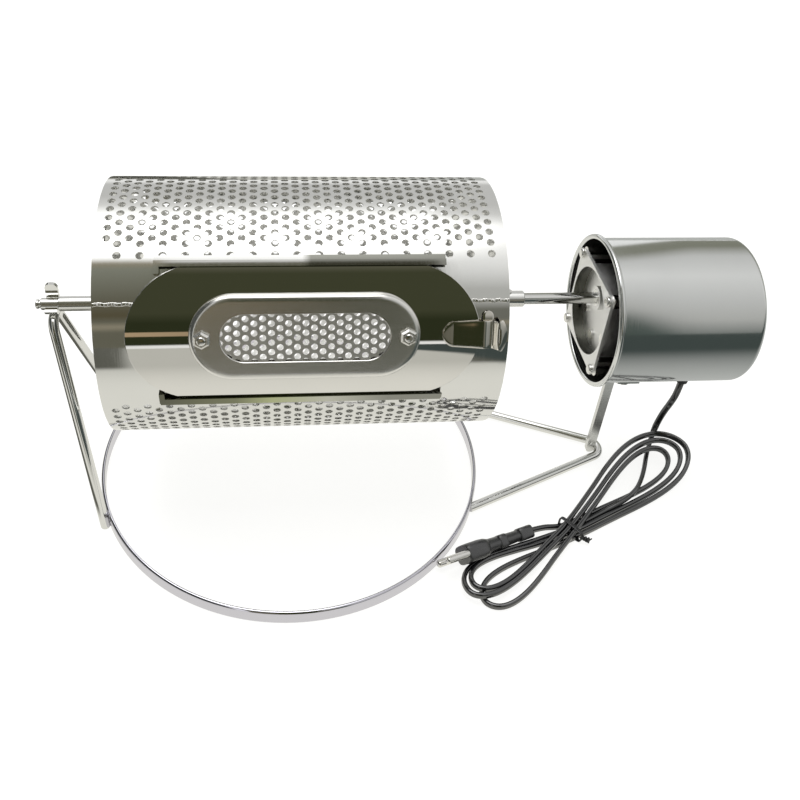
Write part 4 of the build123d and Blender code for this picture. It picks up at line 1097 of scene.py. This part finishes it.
# %% Drum skin
def drum_sheet():
    """Flat layout of the drum: x along the axis and arc length around it, both in millimetres."""
    arc_step = math.radians(STEP_ANGLE) * DRUM_RADIUS
    start = np.array([FIRST_X, math.radians(FIRST_ANGLE) * DRUM_RADIUS])
    step = np.array([STEP_X, arc_step])
    odd = np.arange(1, COLUMNS, 2) * COLUMN_STEPS
    even = np.arange(0, COLUMNS, 2) * COLUMN_STEPS
    sets = (odd, np.arange(0, HALF_ROWS, 2)), (even, np.arange(PLAIN_ROWS, HALF_ROWS - 2, 2))
    spans = (0, PLAIN_ROWS), (HALF_ROWS - 1, HALF_ROWS)
    cells = holed_cells(sets, start, step, HOLE_RADIUS) + filled_ends(even, spans, start, step)
    rows = start[1] + np.arange(HALF_ROWS + 1) * step[1]
    lines = FIRST_X + STEP_X * np.arange(COLUMNS * COLUMN_STEPS + 1)
    ends = np.array([DRUM_HALF - RIM_BEVEL, DRUM_HALF])
    for edge in ((*-ends[::-1], lines[0]), (lines[-1], *ends)):
        cells.append(plain_faces(*np.meshgrid(edge, rows, indexing="ij")))
    return cells, np.concatenate([-ends[::-1], lines, ends]), rows


def feed_edge(x):
    """Half height of the feed opening at x: a stadium, with straight sides and round ends."""
    past = np.clip(np.abs(x) - FEED_STRAIGHT, 0, None)
    return np.sqrt(np.clip(FEED_RADIUS**2 - past**2, 0, None))


def band_sheet(lines, top):
    """The plain band above or below the feed opening, from the opening's edge to the perforated rows."""
    edge = np.arcsin(feed_edge(lines) / DRUM_RADIUS) * DRUM_RADIUS * np.sign(top)
    share = np.linspace(0, 1, BAND_ROWS)
    v = edge[:, None] * (1 - share) + top * share
    u = np.repeat(lines[:, None], BAND_ROWS, 1)
    if top < 0:
        u, v = u[:, ::-1], v[:, ::-1]
    return plain_faces(u, v)


def make_drum_skin():
    """All flat sheets merged, rolled to the drum's radius and given the thickness of the sheet."""
    cells, lines, rows = drum_sheet()
    around = 2 * math.pi * DRUM_RADIUS
    sheets = cells + [band_sheet(lines, rows[0]), band_sheet(lines, rows[-1] - around)]
    flat = [(np.stack([p[:, 0], p[:, 1] % around], -1), f) for p, f in sheets]
    points, faces = sheet_of(flat)
    angle = np.degrees(points[:, 1] / DRUM_RADIUS)
    at_end = np.abs(points[:, 0]) > DRUM_HALF - RIM_BEVEL / 2
    outer = from_drum(rolled(points[:, 0], angle, DRUM_RADIUS - RIM_DROP * at_end))
    inner = from_drum(rolled(points[:, 0], angle, DRUM_RADIUS - SHEET))
    return thick_sheet(outer, inner, faces)


drum_skin = piece("drum_skin", make_drum_skin(), "drum", drum_polish, ("drum_shell",))
true_round(drum_skin, AXLE_PLACE)
# The inside finish carries painted light, an emission on its lowest third.
finish_inside(drum_skin, drum_inside, AXIS_HEIGHT)
print("drum skin faces:", len(drum_skin.data.polygons))

# %% [markdown]
# The sheet is closed by a spot of welding at each end of the plain band. The bead is uneven: a low arch
# carried along the drum, whose height and width follow a few sine waves of unlike lengths.

# %% Weld beads
BEAD_ANGLE = 13.5
BEAD_FROM, BEAD_TO = 61.5, 90.6
BEAD_HALF, BEAD_HEIGHT = 0.8, 0.22
BEAD_SINK, BEAD_ROOT = 0.04, 0.2
BEAD_MEAN = 0.75
BEAD_STEPS, BEAD_ACROSS = 150, 9
BEAD_WAVES = ((0.18, 1.9, 1), (0.14, 4.3, 0), (0.1, 7.7, 2))
WANDER_DEPTH, WANDER_RATE = 0.15, 1.1
SPREAD_MEAN, SPREAD_DEPTH = 0.8, 0.3


def weld(side):
    """Arch over the sheet: its height is one less the square of the place across, times the uneven size."""
    x = np.linspace(BEAD_FROM, BEAD_TO, BEAD_STEPS)
    uneven = BEAD_MEAN + sum(depth * np.sin(rate * x + shift * side) for depth, rate, shift in BEAD_WAVES)
    across = np.linspace(-1, 1, BEAD_ACROSS)
    rise = DRUM_RADIUS - BEAD_SINK + BEAD_HEIGHT * uneven[:, None] * (1 - across**2)
    wander = BEAD_ANGLE + WANDER_DEPTH * np.sin(WANDER_RATE * x + side)
    spread = np.degrees(BEAD_HALF / DRUM_RADIUS) * (SPREAD_MEAN + SPREAD_DEPTH * uneven)
    angle = wander[:, None] + spread[:, None] * across
    top = rolled(side * x[:, None], angle, rise)
    under = rolled(side * x[:, None], angle[:, ::-1], np.full_like(rise, DRUM_RADIUS - BEAD_ROOT))
    return skin(from_drum(np.concatenate([top, under], 1)))


piece("weld_beads", joined(weld(-1), weld(1)), "drum", weld_bead, sharp=80)
print("weld beads at", BEAD_ANGLE, "degrees from the door's middle")

# %% [markdown]
# ## Drum ends
# Each end is a dished disc pressed into the tube. A flattened cylinder could do, but its flange and round
# corner would be missing, so a profile is turned about the axle. A ring just inside the round corner keeps
# the flat face flat in shading.

# %% Drum ends
END_INSET = 4.0
AXLE_RADIUS = 3.0
FIT = 0.05
DISC_CORNER, DISC_BEVEL = 1.6, 0.6
SHADE_RING = 0.5
DISC_SEGMENTS = 128


def on_axle(shape):
    """Shape about the X axis moved on to the drum's axis."""
    return moved(shape, DRUM_X, AXIS_HEIGHT)


def end_disc(side):
    """Dished disc: flat face inset from the tube's end, round corner, flange along the tube's bore."""
    bore = DRUM_RADIUS - SHEET - FIT
    face, rim, hole = DRUM_HALF - END_INSET, DRUM_HALF - 2 * FIT, AXLE_RADIUS + FIT
    corner = bore - SHEET - DISC_CORNER
    outside = np.concatenate([
        [(face, hole), (face, corner - SHADE_RING), (face, corner)],
        arc((face + DISC_CORNER, corner), DISC_CORNER, 180, 90, 5),
        [(rim, bore - SHEET), (rim, bore), (face - SHEET + DISC_BEVEL, bore)],
        [(face - SHEET, bore - DISC_BEVEL), (face - SHEET, hole)],
    ])
    return on_axle(skin(turn(outside * np.array([side, 1.0]), DISC_SEGMENTS), closed=True))


for side, name in ((-1, "left_end"), (1, "right_end")):
    piece(name, end_disc(side), "drum", drum_polish, (f"{name}_disc",))
print("ends inset by", END_INSET, "mm")

# %% [markdown]
# ## Axle
# The axle is turned steel, with a groove near its left tip and a square tang at the motor, and two sleeves
# sit on it. Cylinders could be stacked for these, but a turned profile holds all its steps in one list.

# %% Axle and sleeves
SQUARE_HALF = 2.3
SLEEVE_RADIUS, HUB_RADIUS = 3.65, 4.25
AXLE_TIP = [(0.0, 1.7), (0.4, 2.3), (1.4, 2.3), (1.7, 1.8), (2.5, 1.8), (2.5, 2.6), (2.9, AXLE_RADIUS)]
AXLE_SEGMENTS = 64
TANG_LENGTH, TANG_BEVEL = 9.5, 1.2
axle_low, axle_high = span("axle")
axle_left, axle_right = axle_low[0] - DRUM_X, axle_high[0] - DRUM_X
tang_start = span("output_socket")[0][0] - DRUM_X - TANG_LENGTH


def axle_rings():
    """Round rings that change to a square with clipped corners at the tang."""
    tip = [(axle_left + x, radius) for x, radius in AXLE_TIP]
    tang = [(x, AXLE_RADIUS) for x in (tang_start, tang_start + TANG_BEVEL, axle_right)]
    rings = turn(tip + tang, AXLE_SEGMENTS)
    a = full_turn(AXLE_SEGMENTS)
    square = np.minimum(AXLE_RADIUS, SQUARE_HALF / np.maximum(np.abs(np.cos(a)), np.abs(np.sin(a))))
    rings[-2:, :, 1] = square * np.sin(a)
    rings[-2:, :, 2] = square * np.cos(a)
    return rings


piece("axle_bar", on_axle(skin(axle_rings())), "drum", turned_steel, ("axle",))


def sleeve(node, radius, bevel=0.3):
    """Short tube with bevelled rims on the axle, as long as the CAD node."""
    low, high = span(node)
    x0, x1, bore = low[0] - DRUM_X, high[0] - DRUM_X, AXLE_RADIUS + FIT
    profile = [
        (x0, bore), (x0, radius - bevel), (x0 + bevel, radius),
        (x1 - bevel, radius), (x1, radius - bevel), (x1, bore),
    ]
    return on_axle(skin(turn(profile, AXLE_SEGMENTS), closed=True))


SLEEVES = (("spacer_tube", "spacer_sleeve", SLEEVE_RADIUS), ("hub_tube", "hub_sleeve", HUB_RADIUS))
for name, node, radius in SLEEVES:
    piece(name, sleeve(node, radius), "drum", turned_steel, (node,))
print("axle from", axle_low[0].round(1), "to", axle_high[0].round(1))

# %% [markdown]
# ## Door, window plate and mesh
# The door is a curved mirror panel with round ends. A dished plate with a long window is bolted on it over
# a fine mesh. Panel and plate could be cut out with booleans, but each is a closed chain of stadium rings:
# the outline is drawn flat, and a rule gives its height, which is the door's cylinder for the panel and a
# flat top for the plate.

# %% Door panel
DOOR_CLEARANCE = 0.3
DOOR_OUT = DRUM_RADIUS + DOOR_CLEARANCE + SHEET
DOOR_STRAIGHT, DOOR_ROUND = 46.7, 30.8
DOOR_HOLLOW = 0.0004
DOOR_RINGS = 13
DOOR_RIM = ((0.0, 0.25), (0.08, 0.07), (0.25, 0.0))
WINDOW_STRAIGHT, WINDOW_ROUND = 26.4, 10.7


def stadium(straight, radius, straight_steps=60, round_steps=36):
    """Two straight sides joined by half circles, anticlockwise from the lower left corner."""
    t = np.linspace(-1, 1, straight_steps, endpoint=False)
    a = np.radians(np.linspace(-90, 90, round_steps, endpoint=False))
    lower = np.stack([t * straight, np.full_like(t, -radius)], -1)
    right = np.stack([straight + radius * np.cos(a), radius * np.sin(a)], -1)
    return np.concatenate([lower, right, -lower, -right])


def on_cylinder(outline, radius):
    """Flat points lifted on to a cylinder about the drum's axis."""
    return np.concatenate([outline, np.sqrt(radius**2 - outline[:, 1:] ** 2)], -1)


def door_rings():
    """Outer face from rim to window, then the inner face back; the rim is rounded by a quarter millimetre."""
    rim_lines = [(stadium(DOOR_STRAIGHT, DOOR_ROUND - inset), drop) for inset, drop in DOOR_RIM]
    rim = [on_cylinder(line, DOOR_OUT - drop) for line, drop in rim_lines]
    share = np.linspace(0, 1, DOOR_RINGS)[:, None, None]
    between = (1 - share) * rim_lines[-1][0] + share * stadium(WINDOW_STRAIGHT, WINDOW_ROUND)
    outer = [on_cylinder(flat, DOOR_OUT) for flat in between[1:]]
    inner = [on_cylinder(flat, DOOR_OUT - SHEET) for flat in between[::-1]]
    back = [on_cylinder(stadium(DOOR_STRAIGHT, DOOR_ROUND), DOOR_OUT - SHEET)]
    return from_drum(np.array(rim + outer + inner + back))


door = piece("door", skin(door_rings(), closed=True), "door", door_mirror, ("door_panel",))
true_round(door, AXLE_PLACE, DOOR_HOLLOW)
print("door faces:", len(door.data.polygons))

# %% [markdown]
# The plate stands on the door's curve with its skirt, rounds over to a flat top and ends at the window. It
# could be a bevelled box with a hole, but the rings keep its outline and the window's in step.

# %% Window plate
PLATE_RISE, PLATE_SEAT = 2.4, 0.02
PLATE_TOP = DOOR_OUT + PLATE_RISE
WINDOW_SOFT = 0.2
EDGE_RINGS, TOP_RINGS = 13, 7
PLATE_STRAIGHT, PLATE_ROUND = 31.5, 19.0
PLATE_EDGE, PLATE_FALL = 2.6, 1.9


def lifted(outline, height):
    """Flat points at one height in the drum's frame."""
    return np.concatenate([outline, np.full((len(outline), 1), height)], -1)


def plate_rings():
    """Skirt on the door, rounded edge, flat top, window edge, underside and the skirt's inner face."""
    outside, inside = stadium(PLATE_STRAIGHT, PLATE_ROUND), stadium(PLATE_STRAIGHT, PLATE_ROUND - SHEET)
    window = stadium(WINDOW_STRAIGHT, WINDOW_ROUND)
    edge = [
        lifted(stadium(PLATE_STRAIGHT, PLATE_ROUND - PLATE_EDGE * (1 - math.cos(t))),
               PLATE_TOP - PLATE_FALL * (1 - math.sin(t)))
        for t in np.radians(np.linspace(0, 90, EDGE_RINGS))
    ]
    share = np.linspace(0, 1, TOP_RINGS)[1:, None, None]
    flat = (1 - share) * stadium(PLATE_STRAIGHT, PLATE_ROUND - PLATE_EDGE)
    flat = flat + share * stadium(WINDOW_STRAIGHT, WINDOW_ROUND + WINDOW_SOFT)
    top = [lifted(outline, PLATE_TOP) for outline in flat]
    lip = [lifted(window, PLATE_TOP - WINDOW_SOFT), lifted(window, PLATE_TOP - SHEET)]
    under = [lifted(inside, PLATE_TOP - SHEET), on_cylinder(inside, DOOR_OUT - PLATE_SEAT)]
    return from_drum(np.array([on_cylinder(outside, DOOR_OUT - PLATE_SEAT)] + edge + top + lip + under))


plate = piece(
    "window_cover", skin(plate_rings(), closed=True), "door", plate_satin, ("window_plate",)
)
print("plate faces:", len(plate.data.polygons))

# %% [markdown]
# The mesh behind the window is made of the same staggered cells as the drum, left flat.

# %% Window mesh
MESH_PITCH, MESH_HOLE, MESH_SHEET = 4.3, 1.5, 0.5
MESH_COLUMNS, MESH_HALF_ROWS = 21, 12


def make_mesh():
    """The same staggered cells as the drum, flat under the plate."""
    step = np.array([MESH_PITCH * math.sqrt(3) / 2 / COLUMN_STEPS, MESH_PITCH / 2])
    start = -step * np.array([MESH_COLUMNS * COLUMN_STEPS / 2, MESH_HALF_ROWS / 2])
    even = np.arange(0, MESH_COLUMNS, 2) * COLUMN_STEPS
    odd = np.arange(1, MESH_COLUMNS, 2) * COLUMN_STEPS
    sets = (even, np.arange(0, MESH_HALF_ROWS, 2)), (odd, np.arange(1, MESH_HALF_ROWS - 2, 2))
    spans = (0, 1), (MESH_HALF_ROWS - 1, MESH_HALF_ROWS)
    sheets = holed_cells(sets, start, step, MESH_HOLE) + filled_ends(odd, spans, start, step)
    points, faces = sheet_of(sheets)
    high, low = PLATE_TOP - SHEET - PLATE_SEAT, PLATE_TOP - SHEET - MESH_SHEET
    return thick_sheet(from_drum(lifted(points, high)), from_drum(lifted(points, low)), faces)


window_mesh = piece("window_screen", make_mesh(), "door", mesh_steel, ("window_mesh",))
print("mesh faces:", len(window_mesh.data.polygons))

# %% [markdown]
# Two studs with hexagon nuts hold plate and mesh on the door. A nut is four hexagons on top of each other,
# the last one smaller for the bevel; a stud is a turned profile with a domed end.

# %% Studs and nuts
STUD_X = 44.75
STUD_RADIUS, STUD_ROOT, NUT_ACROSS, NUT_HEIGHT = 1.9, 0.3, 7.0, 2.8
NUT_STATIONS = ((0.0, 0.93), (0.35, 0.97), (1.9, 0.97), (NUT_HEIGHT, 0.74))
STUD_SEGMENTS = 24
STUD_DOME = ((0.5, STUD_RADIUS), (0.85, 1.5), (1.0, 0.0))


def hex_rings(stations):
    """Hexagons at (height, share of the full width) stations."""
    a = np.radians(60 * np.arange(6) + 30)
    corner = NUT_ACROSS / 2 / math.cos(math.radians(30)) * np.stack([np.cos(a), np.sin(a)], -1)
    stations = np.asarray(stations)
    return np.concatenate([stations[:, 1:, None] * corner, np.repeat(stations[:, :1, None], 6, 1)], -1)


def nut_and_stud(x):
    """Nut with bevelled corners, and the domed end of the stud standing out of it."""
    nut, nut_faces = skin(hex_rings([(PLATE_TOP + height, share) for height, share in NUT_STATIONS]))
    dome = [(PLATE_TOP + NUT_HEIGHT + height, radius) for height, radius in STUD_DOME]
    stud, stud_faces = skin(turn([(DOOR_OUT - STUD_ROOT, STUD_RADIUS), *dome], STUD_SEGMENTS))
    move = np.array([x, 0.0, 0.0])
    return (from_drum(nut + move), nut_faces), (from_drum(stud[:, [1, 2, 0]] + move), stud_faces)


nuts, studs = zip(*(nut_and_stud(x) for x in (-STUD_X, STUD_X)))
piece("cover_nuts", joined(*nuts), "door", nut_plated, ("window_nuts",), sharp=20)
piece("cover_studs", joined(*studs), "door", plated, ("window_studs",))
print("nuts and studs at", -STUD_X, STUD_X)

# %% [markdown]
# ## Latch
# The latch is one leaf of spring steel: a flat root on the door, a dip past the door's end, and a raised
# lip for the thumb with a rounded end. A bent plane could be modelled by hand, but a flat section carried
# along a line of (length, height) points gives the folds exactly, and its width follows the same points.

# %% Latch
LEAF_THICKNESS = 0.36
LEAF_FOLDS = [
    (66.0, 64.3, 5.7), (74.0, 65.1, 6.1), (78.6, 65.55, 6.4), (80.4, 65.5, 6.4), (81.7, 65.0, 6.4),
    (82.5, 64.8, 6.4), (83.1, 65.3, 6.4), (84.0, 67.0, 6.4), (84.5, 67.8, 6.4), (85.3, 68.25, 6.5),
    (86.4, 68.2, 6.8), (87.6, 67.8, 7.1), (88.9, 67.1, 7.2),
]
LEAF_ROOT, LEAF_ROUND = 60.5, 5.5
ROOT_ANGLES, ROOT_STEPS = (4, 80), 9
LIP_FROM, LIP_SAG = 84.5, 2.2
EAR_X, EAR_HALF, EAR_FROM, EAR_TOP = 80.9, 2.4, 4.5, 9.4
EAR_HEIGHT, EAR_BEND, EAR_ROUND, EAR_TIP = 64.1, 0.5, 2.0, 0.98
EAR_STEPS = 14
LEAF_POWER = 6.0
LEAF_POINTS, EAR_POINTS = 32, 24


def leaf_stations():
    """Length, height and half width along the leaf; the root is a half ellipse."""
    t = np.radians(np.linspace(*ROOT_ANGLES, ROOT_STEPS))
    _, height, half = LEAF_FOLDS[0]
    length = LEAF_ROOT + LEAF_ROUND * (1 - np.cos(t))
    return np.concatenate([np.stack([length, np.full_like(t, height), half * np.sin(t)], -1), LEAF_FOLDS])


def latch_leaf():
    """Rounded flat sections square to the line of the leaf; past LIP_FROM the corners are drawn back."""
    x, height, half = leaf_stations().T
    along = unit(np.stack([np.gradient(x), np.gradient(height)], -1))
    outline = rounded_box(1.0, LEAF_THICKNESS / 2, power=LEAF_POWER, steps=LEAF_POINTS)
    across = half[:, None] * outline[None, :, 0]
    lift = outline[None, :, 1] * np.ones_like(half)[:, None]
    share = np.clip((x - LIP_FROM) / (x[-1] - LIP_FROM), 0, 1)
    back = LIP_SAG * share[:, None] * outline[None, :, 0] ** 2
    return skin(from_drum(np.stack([
        x[:, None] - lift * along[:, 1:] - back, across, height[:, None] + lift * along[:, :1]
    ], -1)))


def latch_ear():
    """Small tongue bent down beside the leaf: a flat section carried round the drum, rounded at its end."""
    angle = np.linspace(EAR_FROM, EAR_TOP, EAR_STEPS)
    share = np.clip((angle - EAR_TOP + EAR_ROUND) / EAR_ROUND, 0, EAR_TIP)
    half = EAR_HALF * np.sqrt(1 - share**2)
    outline = rounded_box(1.0, LEAF_THICKNESS / 2, power=LEAF_POWER, steps=EAR_POINTS)
    x = EAR_X + half[:, None] * outline[None, :, 0]
    height = EAR_HEIGHT - EAR_BEND * ((angle - EAR_FROM) / (EAR_TOP - EAR_FROM)) ** 2
    return skin(from_drum(rolled(x, angle[:, None] + 0 * x, height[:, None] + outline[None, :, 1])))


latch = piece(
    "latch_leaf", joined(latch_leaf(), latch_ear()), "latch", spring_steel, ("latch_clip",)
)
print("latch faces:", len(latch.data.polygons))

# %% [markdown]
# ## Motor cup
# The motor sits in a deep-drawn steel cup with a rolled rim. A cylinder with a thickness could do, but the
# bead would be missing, so its wall is one closed profile turned about the motor's axis: bead, outside,
# round corner, end, then the inside back to the bead.

# %% Motor cup
CUP_RADIUS, CUP_CORNER = 38.5, 3.6
RIM_BEAD = 1.45
MIDDLE = 0.001
CUP_SEGMENTS = 160
MOTOR_HEIGHT = (cup_low[2] + cup_high[2]) / 2


def cup_profile():
    """Wall of the cup as (x, radius) pairs, anticlockwise."""
    bore, corner = CUP_RADIUS - SHEET, CUP_RADIUS - CUP_CORNER
    rim, end = cup_low[0], cup_high[0]
    bead = arc((rim + RIM_BEAD, bore + RIM_BEAD), RIM_BEAD, -60, -330, 18)
    outer_corner = arc((end - CUP_CORNER, corner), CUP_CORNER, 90, 0, 12)
    inner_corner = arc((end - CUP_CORNER, corner), CUP_CORNER - SHEET, 0, 90, 12)
    return np.concatenate([
        bead, [(rim + 2 * RIM_BEAD + SHEET, CUP_RADIUS)], outer_corner,
        [(end, corner - SHADE_RING), (end, MIDDLE)],
        [(end - SHEET, MIDDLE), (end - SHEET, corner - SHADE_RING)],
        inner_corner, [(rim + 2 * RIM_BEAD, bore)],
    ])


cup_wall = skin(turn(cup_profile(), CUP_SEGMENTS), closed=True)
cup = piece(
    "motor_housing", moved(cup_wall, z=MOTOR_HEIGHT), "stand", cup_satin, ("motor_cup",)
)
# The inside of the cup gets the near black finish, painted shade.
finish_inside(cup, cup_inside_painted_shade, MOTOR_HEIGHT, cup_low[0] + RIM_BEAD)
print("cup faces:", len(cup.data.polygons))

# %% [markdown]
# The gearbox face lies in a recess of the face plate. A thin ring with a near black finish lines the
# wall of the recess: painted shade for the shade inside the recess.

# %% Recess ring
RECESS_RADIUS, RECESS_LINING, RECESS_DEPTH = 23.4, 0.3, 4.35
RECESS_INSET, RECESS_GAP = 0.15, 0.02
RECESS_SEGMENTS = 96
plate_low, plate_high = span("motor_face_plate")
recess_from, recess_to = plate_low[0] + RECESS_INSET, plate_high[0] + RECESS_DEPTH
outer, inner = RECESS_RADIUS - RECESS_GAP, RECESS_RADIUS - RECESS_LINING
lining_profile = [(recess_from, outer), (recess_from, inner), (recess_to, inner), (recess_to, outer)]
lining = skin(turn(lining_profile, RECESS_SEGMENTS), closed=True)
# The ring's near black finish is painted shade.
piece("recess_shade_lining", moved(lining, z=MOTOR_HEIGHT), "stand", recess_painted_shade)
print("recess from", round(recess_from, 1), "to", round(recess_to, 1))

# %% [markdown]
# ## Stand
# A strip ring stands round the burner. Two bent rods are welded to it: one stands up and carries the axle's
# saddle, the other lies on the table and carries the motor's post. The ring is a profile turned about an
# upright line, like a ring rolled from strip with one softened edge.

# %% Ring
ring_low, ring_high = span("base_ring")
RING_X = (ring_low[0] + ring_high[0]) / 2
RING_RADIUS = (ring_high[1] - ring_low[1]) / 2
STRIP_HEIGHT = ring_high[2]
STRIP_THICKNESS, STRIP_SOFT = 2.0, 0.3
BROW_DROP, BROW_DEPTH = 2.2, 1.4
RING_SEGMENTS, BROW_STEPS = 256, 9


def make_ring():
    """Strip on edge turned about the vertical: its outer upper edge is a quarter ellipse."""
    outer, inner = RING_RADIUS, RING_RADIUS - STRIP_THICKNESS
    a = np.radians(np.linspace(0, 90, BROW_STEPS))
    brow = np.stack([STRIP_HEIGHT - BROW_DROP * (1 - np.sin(a)), outer - BROW_DEPTH * (1 - np.cos(a))], -1)
    profile = np.concatenate([
        [(0, inner + STRIP_SOFT), (0, outer - STRIP_SOFT), (STRIP_SOFT, outer)], brow,
        [(STRIP_HEIGHT, inner + STRIP_SOFT), (STRIP_HEIGHT - STRIP_SOFT, inner), (STRIP_SOFT, inner)],
    ])
    return turned_upright(profile, RING_SEGMENTS, RING_X, closed=True)


piece("burner_ring", make_ring(), "stand", ring_steel, ("base_ring",))
print("ring radius", round(RING_RADIUS, 1), "mm")

# %% [markdown]
# A rod is a round section carried along a V with a rounded apex. It could be a bevelled curve, but the line
# is needed anyway to cut the leg's two feet level where they stand on the table.

# %% Rods
ROD_RADIUS = 2.5
BEND_RADIUS = 7.5
ROD_SPREAD = math.radians(23.5)
LEG_SINK, FOOT_SINK = 0.3, 0.6
ROD_SEGMENTS, BEND_STEPS, ARM_STEPS = 32, 24, 24


def hairpin(apex, side, down, half_width, depth):
    """Line of a rod bent to a V: straight arm, round apex, straight arm; down is from apex to feet."""
    reach = math.hypot(half_width, depth - BEND_RADIUS)
    lean = math.atan2(depth - BEND_RADIUS, half_width)
    start = math.degrees(math.acos(BEND_RADIUS / reach) - lean)
    bend = arc((0, BEND_RADIUS), BEND_RADIUS, start, 180 - start, BEND_STEPS)
    bend = np.stack([bend[:, 0], BEND_RADIUS - (bend[:, 1] - BEND_RADIUS)], -1)
    arm = np.linspace(0, 1, ARM_STEPS)[:, None]
    foot = np.array([half_width, depth])
    right = foot * (1 - arm) + bend[:1] * arm
    left = bend[-1:] * (1 - arm) + foot * np.array([-1, 1]) * arm
    flat = np.concatenate([right[:-1], bend, left[1:]])
    return np.asarray(apex) + flat[:, :1] * np.asarray(side) + flat[:, 1:] * np.asarray(down)


def rod(line, across):
    """Round bar carried along a line that lies in a plane square to across."""
    return carry(line, arc((0, 0), ROD_RADIUS, 0, 360, ROD_SEGMENTS)[:-1], np.asarray(across, float))


saddle_low, saddle_high = span("axle_saddle")
leg_apex = np.array([(saddle_low[0] + saddle_high[0]) / 2, 0.0, saddle_low[2] - ROD_RADIUS + LEG_SINK])
foot_radius = RING_RADIUS + ROD_RADIUS - LEG_SINK
leg_foot = np.array([RING_X - foot_radius * math.cos(ROD_SPREAD), 0.0, 0.0])
leg_down = unit(leg_foot - leg_apex)
leg_line = hairpin(
    leg_apex, (0, 1, 0), leg_down, foot_radius * math.sin(ROD_SPREAD), np.linalg.norm(leg_foot - leg_apex)
)
leg_rings = rod(leg_line, np.cross(leg_down, (0, 1, 0)))
for end, next_ring in ((0, 1), (-1, -2)):
    along = unit(leg_line[end] - leg_line[next_ring])
    leg_rings[end] += ((LEG_SINK - leg_rings[end][:, 2:]) / along[2]) * along
piece("leg_bar", skin(leg_rings), "stand", rod_bright, ("leg_rod",))
foot_apex = np.array([span("foot_rod")[1][0] - ROD_RADIUS, 0.0, ROD_RADIUS])
arm_end = RING_RADIUS - FOOT_SINK
foot_reach = foot_apex[0] - RING_X - arm_end * math.cos(ROD_SPREAD)
foot_line = hairpin(foot_apex, (0, 1, 0), (-1, 0, 0), arm_end * math.sin(ROD_SPREAD), foot_reach)
piece("foot_bar", skin(rod(foot_line, (0, 0, 1))), "stand", rod_bright, ("foot_rod",))
print("leg apex", leg_apex.round(1), "foot apex", foot_apex.round(1))

# %% [markdown]
# ## CAD pieces that stay
# The other pieces, such as rails, screws and the gear motor, already have their true shape in the frame,
# so they only get a finish.

# %% Finishes for CAD pieces
# The rails take the finishes with painted reflection.
STAYING = {
    "axle_saddle": rod_bright, "motor_post": post_satin, "motor_bracket": cup_satin, "bracket_screws": plated,
    "bracket_nuts": plated, "standoff_posts": plated, "motor_face_plate": cast_grey, "plate_screws": plated,
    "gearbox_case": cast_grey, "gearbox_screws": plated, "motor_can": cast_grey, "motor_wires": wire_white,
    "output_socket": turned_steel, "set_screw": plated, "top_rail": top_rail_painted_reflection, "bottom_rail": low_rail_painted_reflection,
    "mixing_vane_1": drum_polish, "mixing_vane_2": drum_polish, "mixing_vane_3": drum_polish,
}
for name, finish in STAYING.items():
    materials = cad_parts[name].data.materials
    materials.clear()
    materials.append(finish)
print("CAD pieces kept:", len(STAYING))
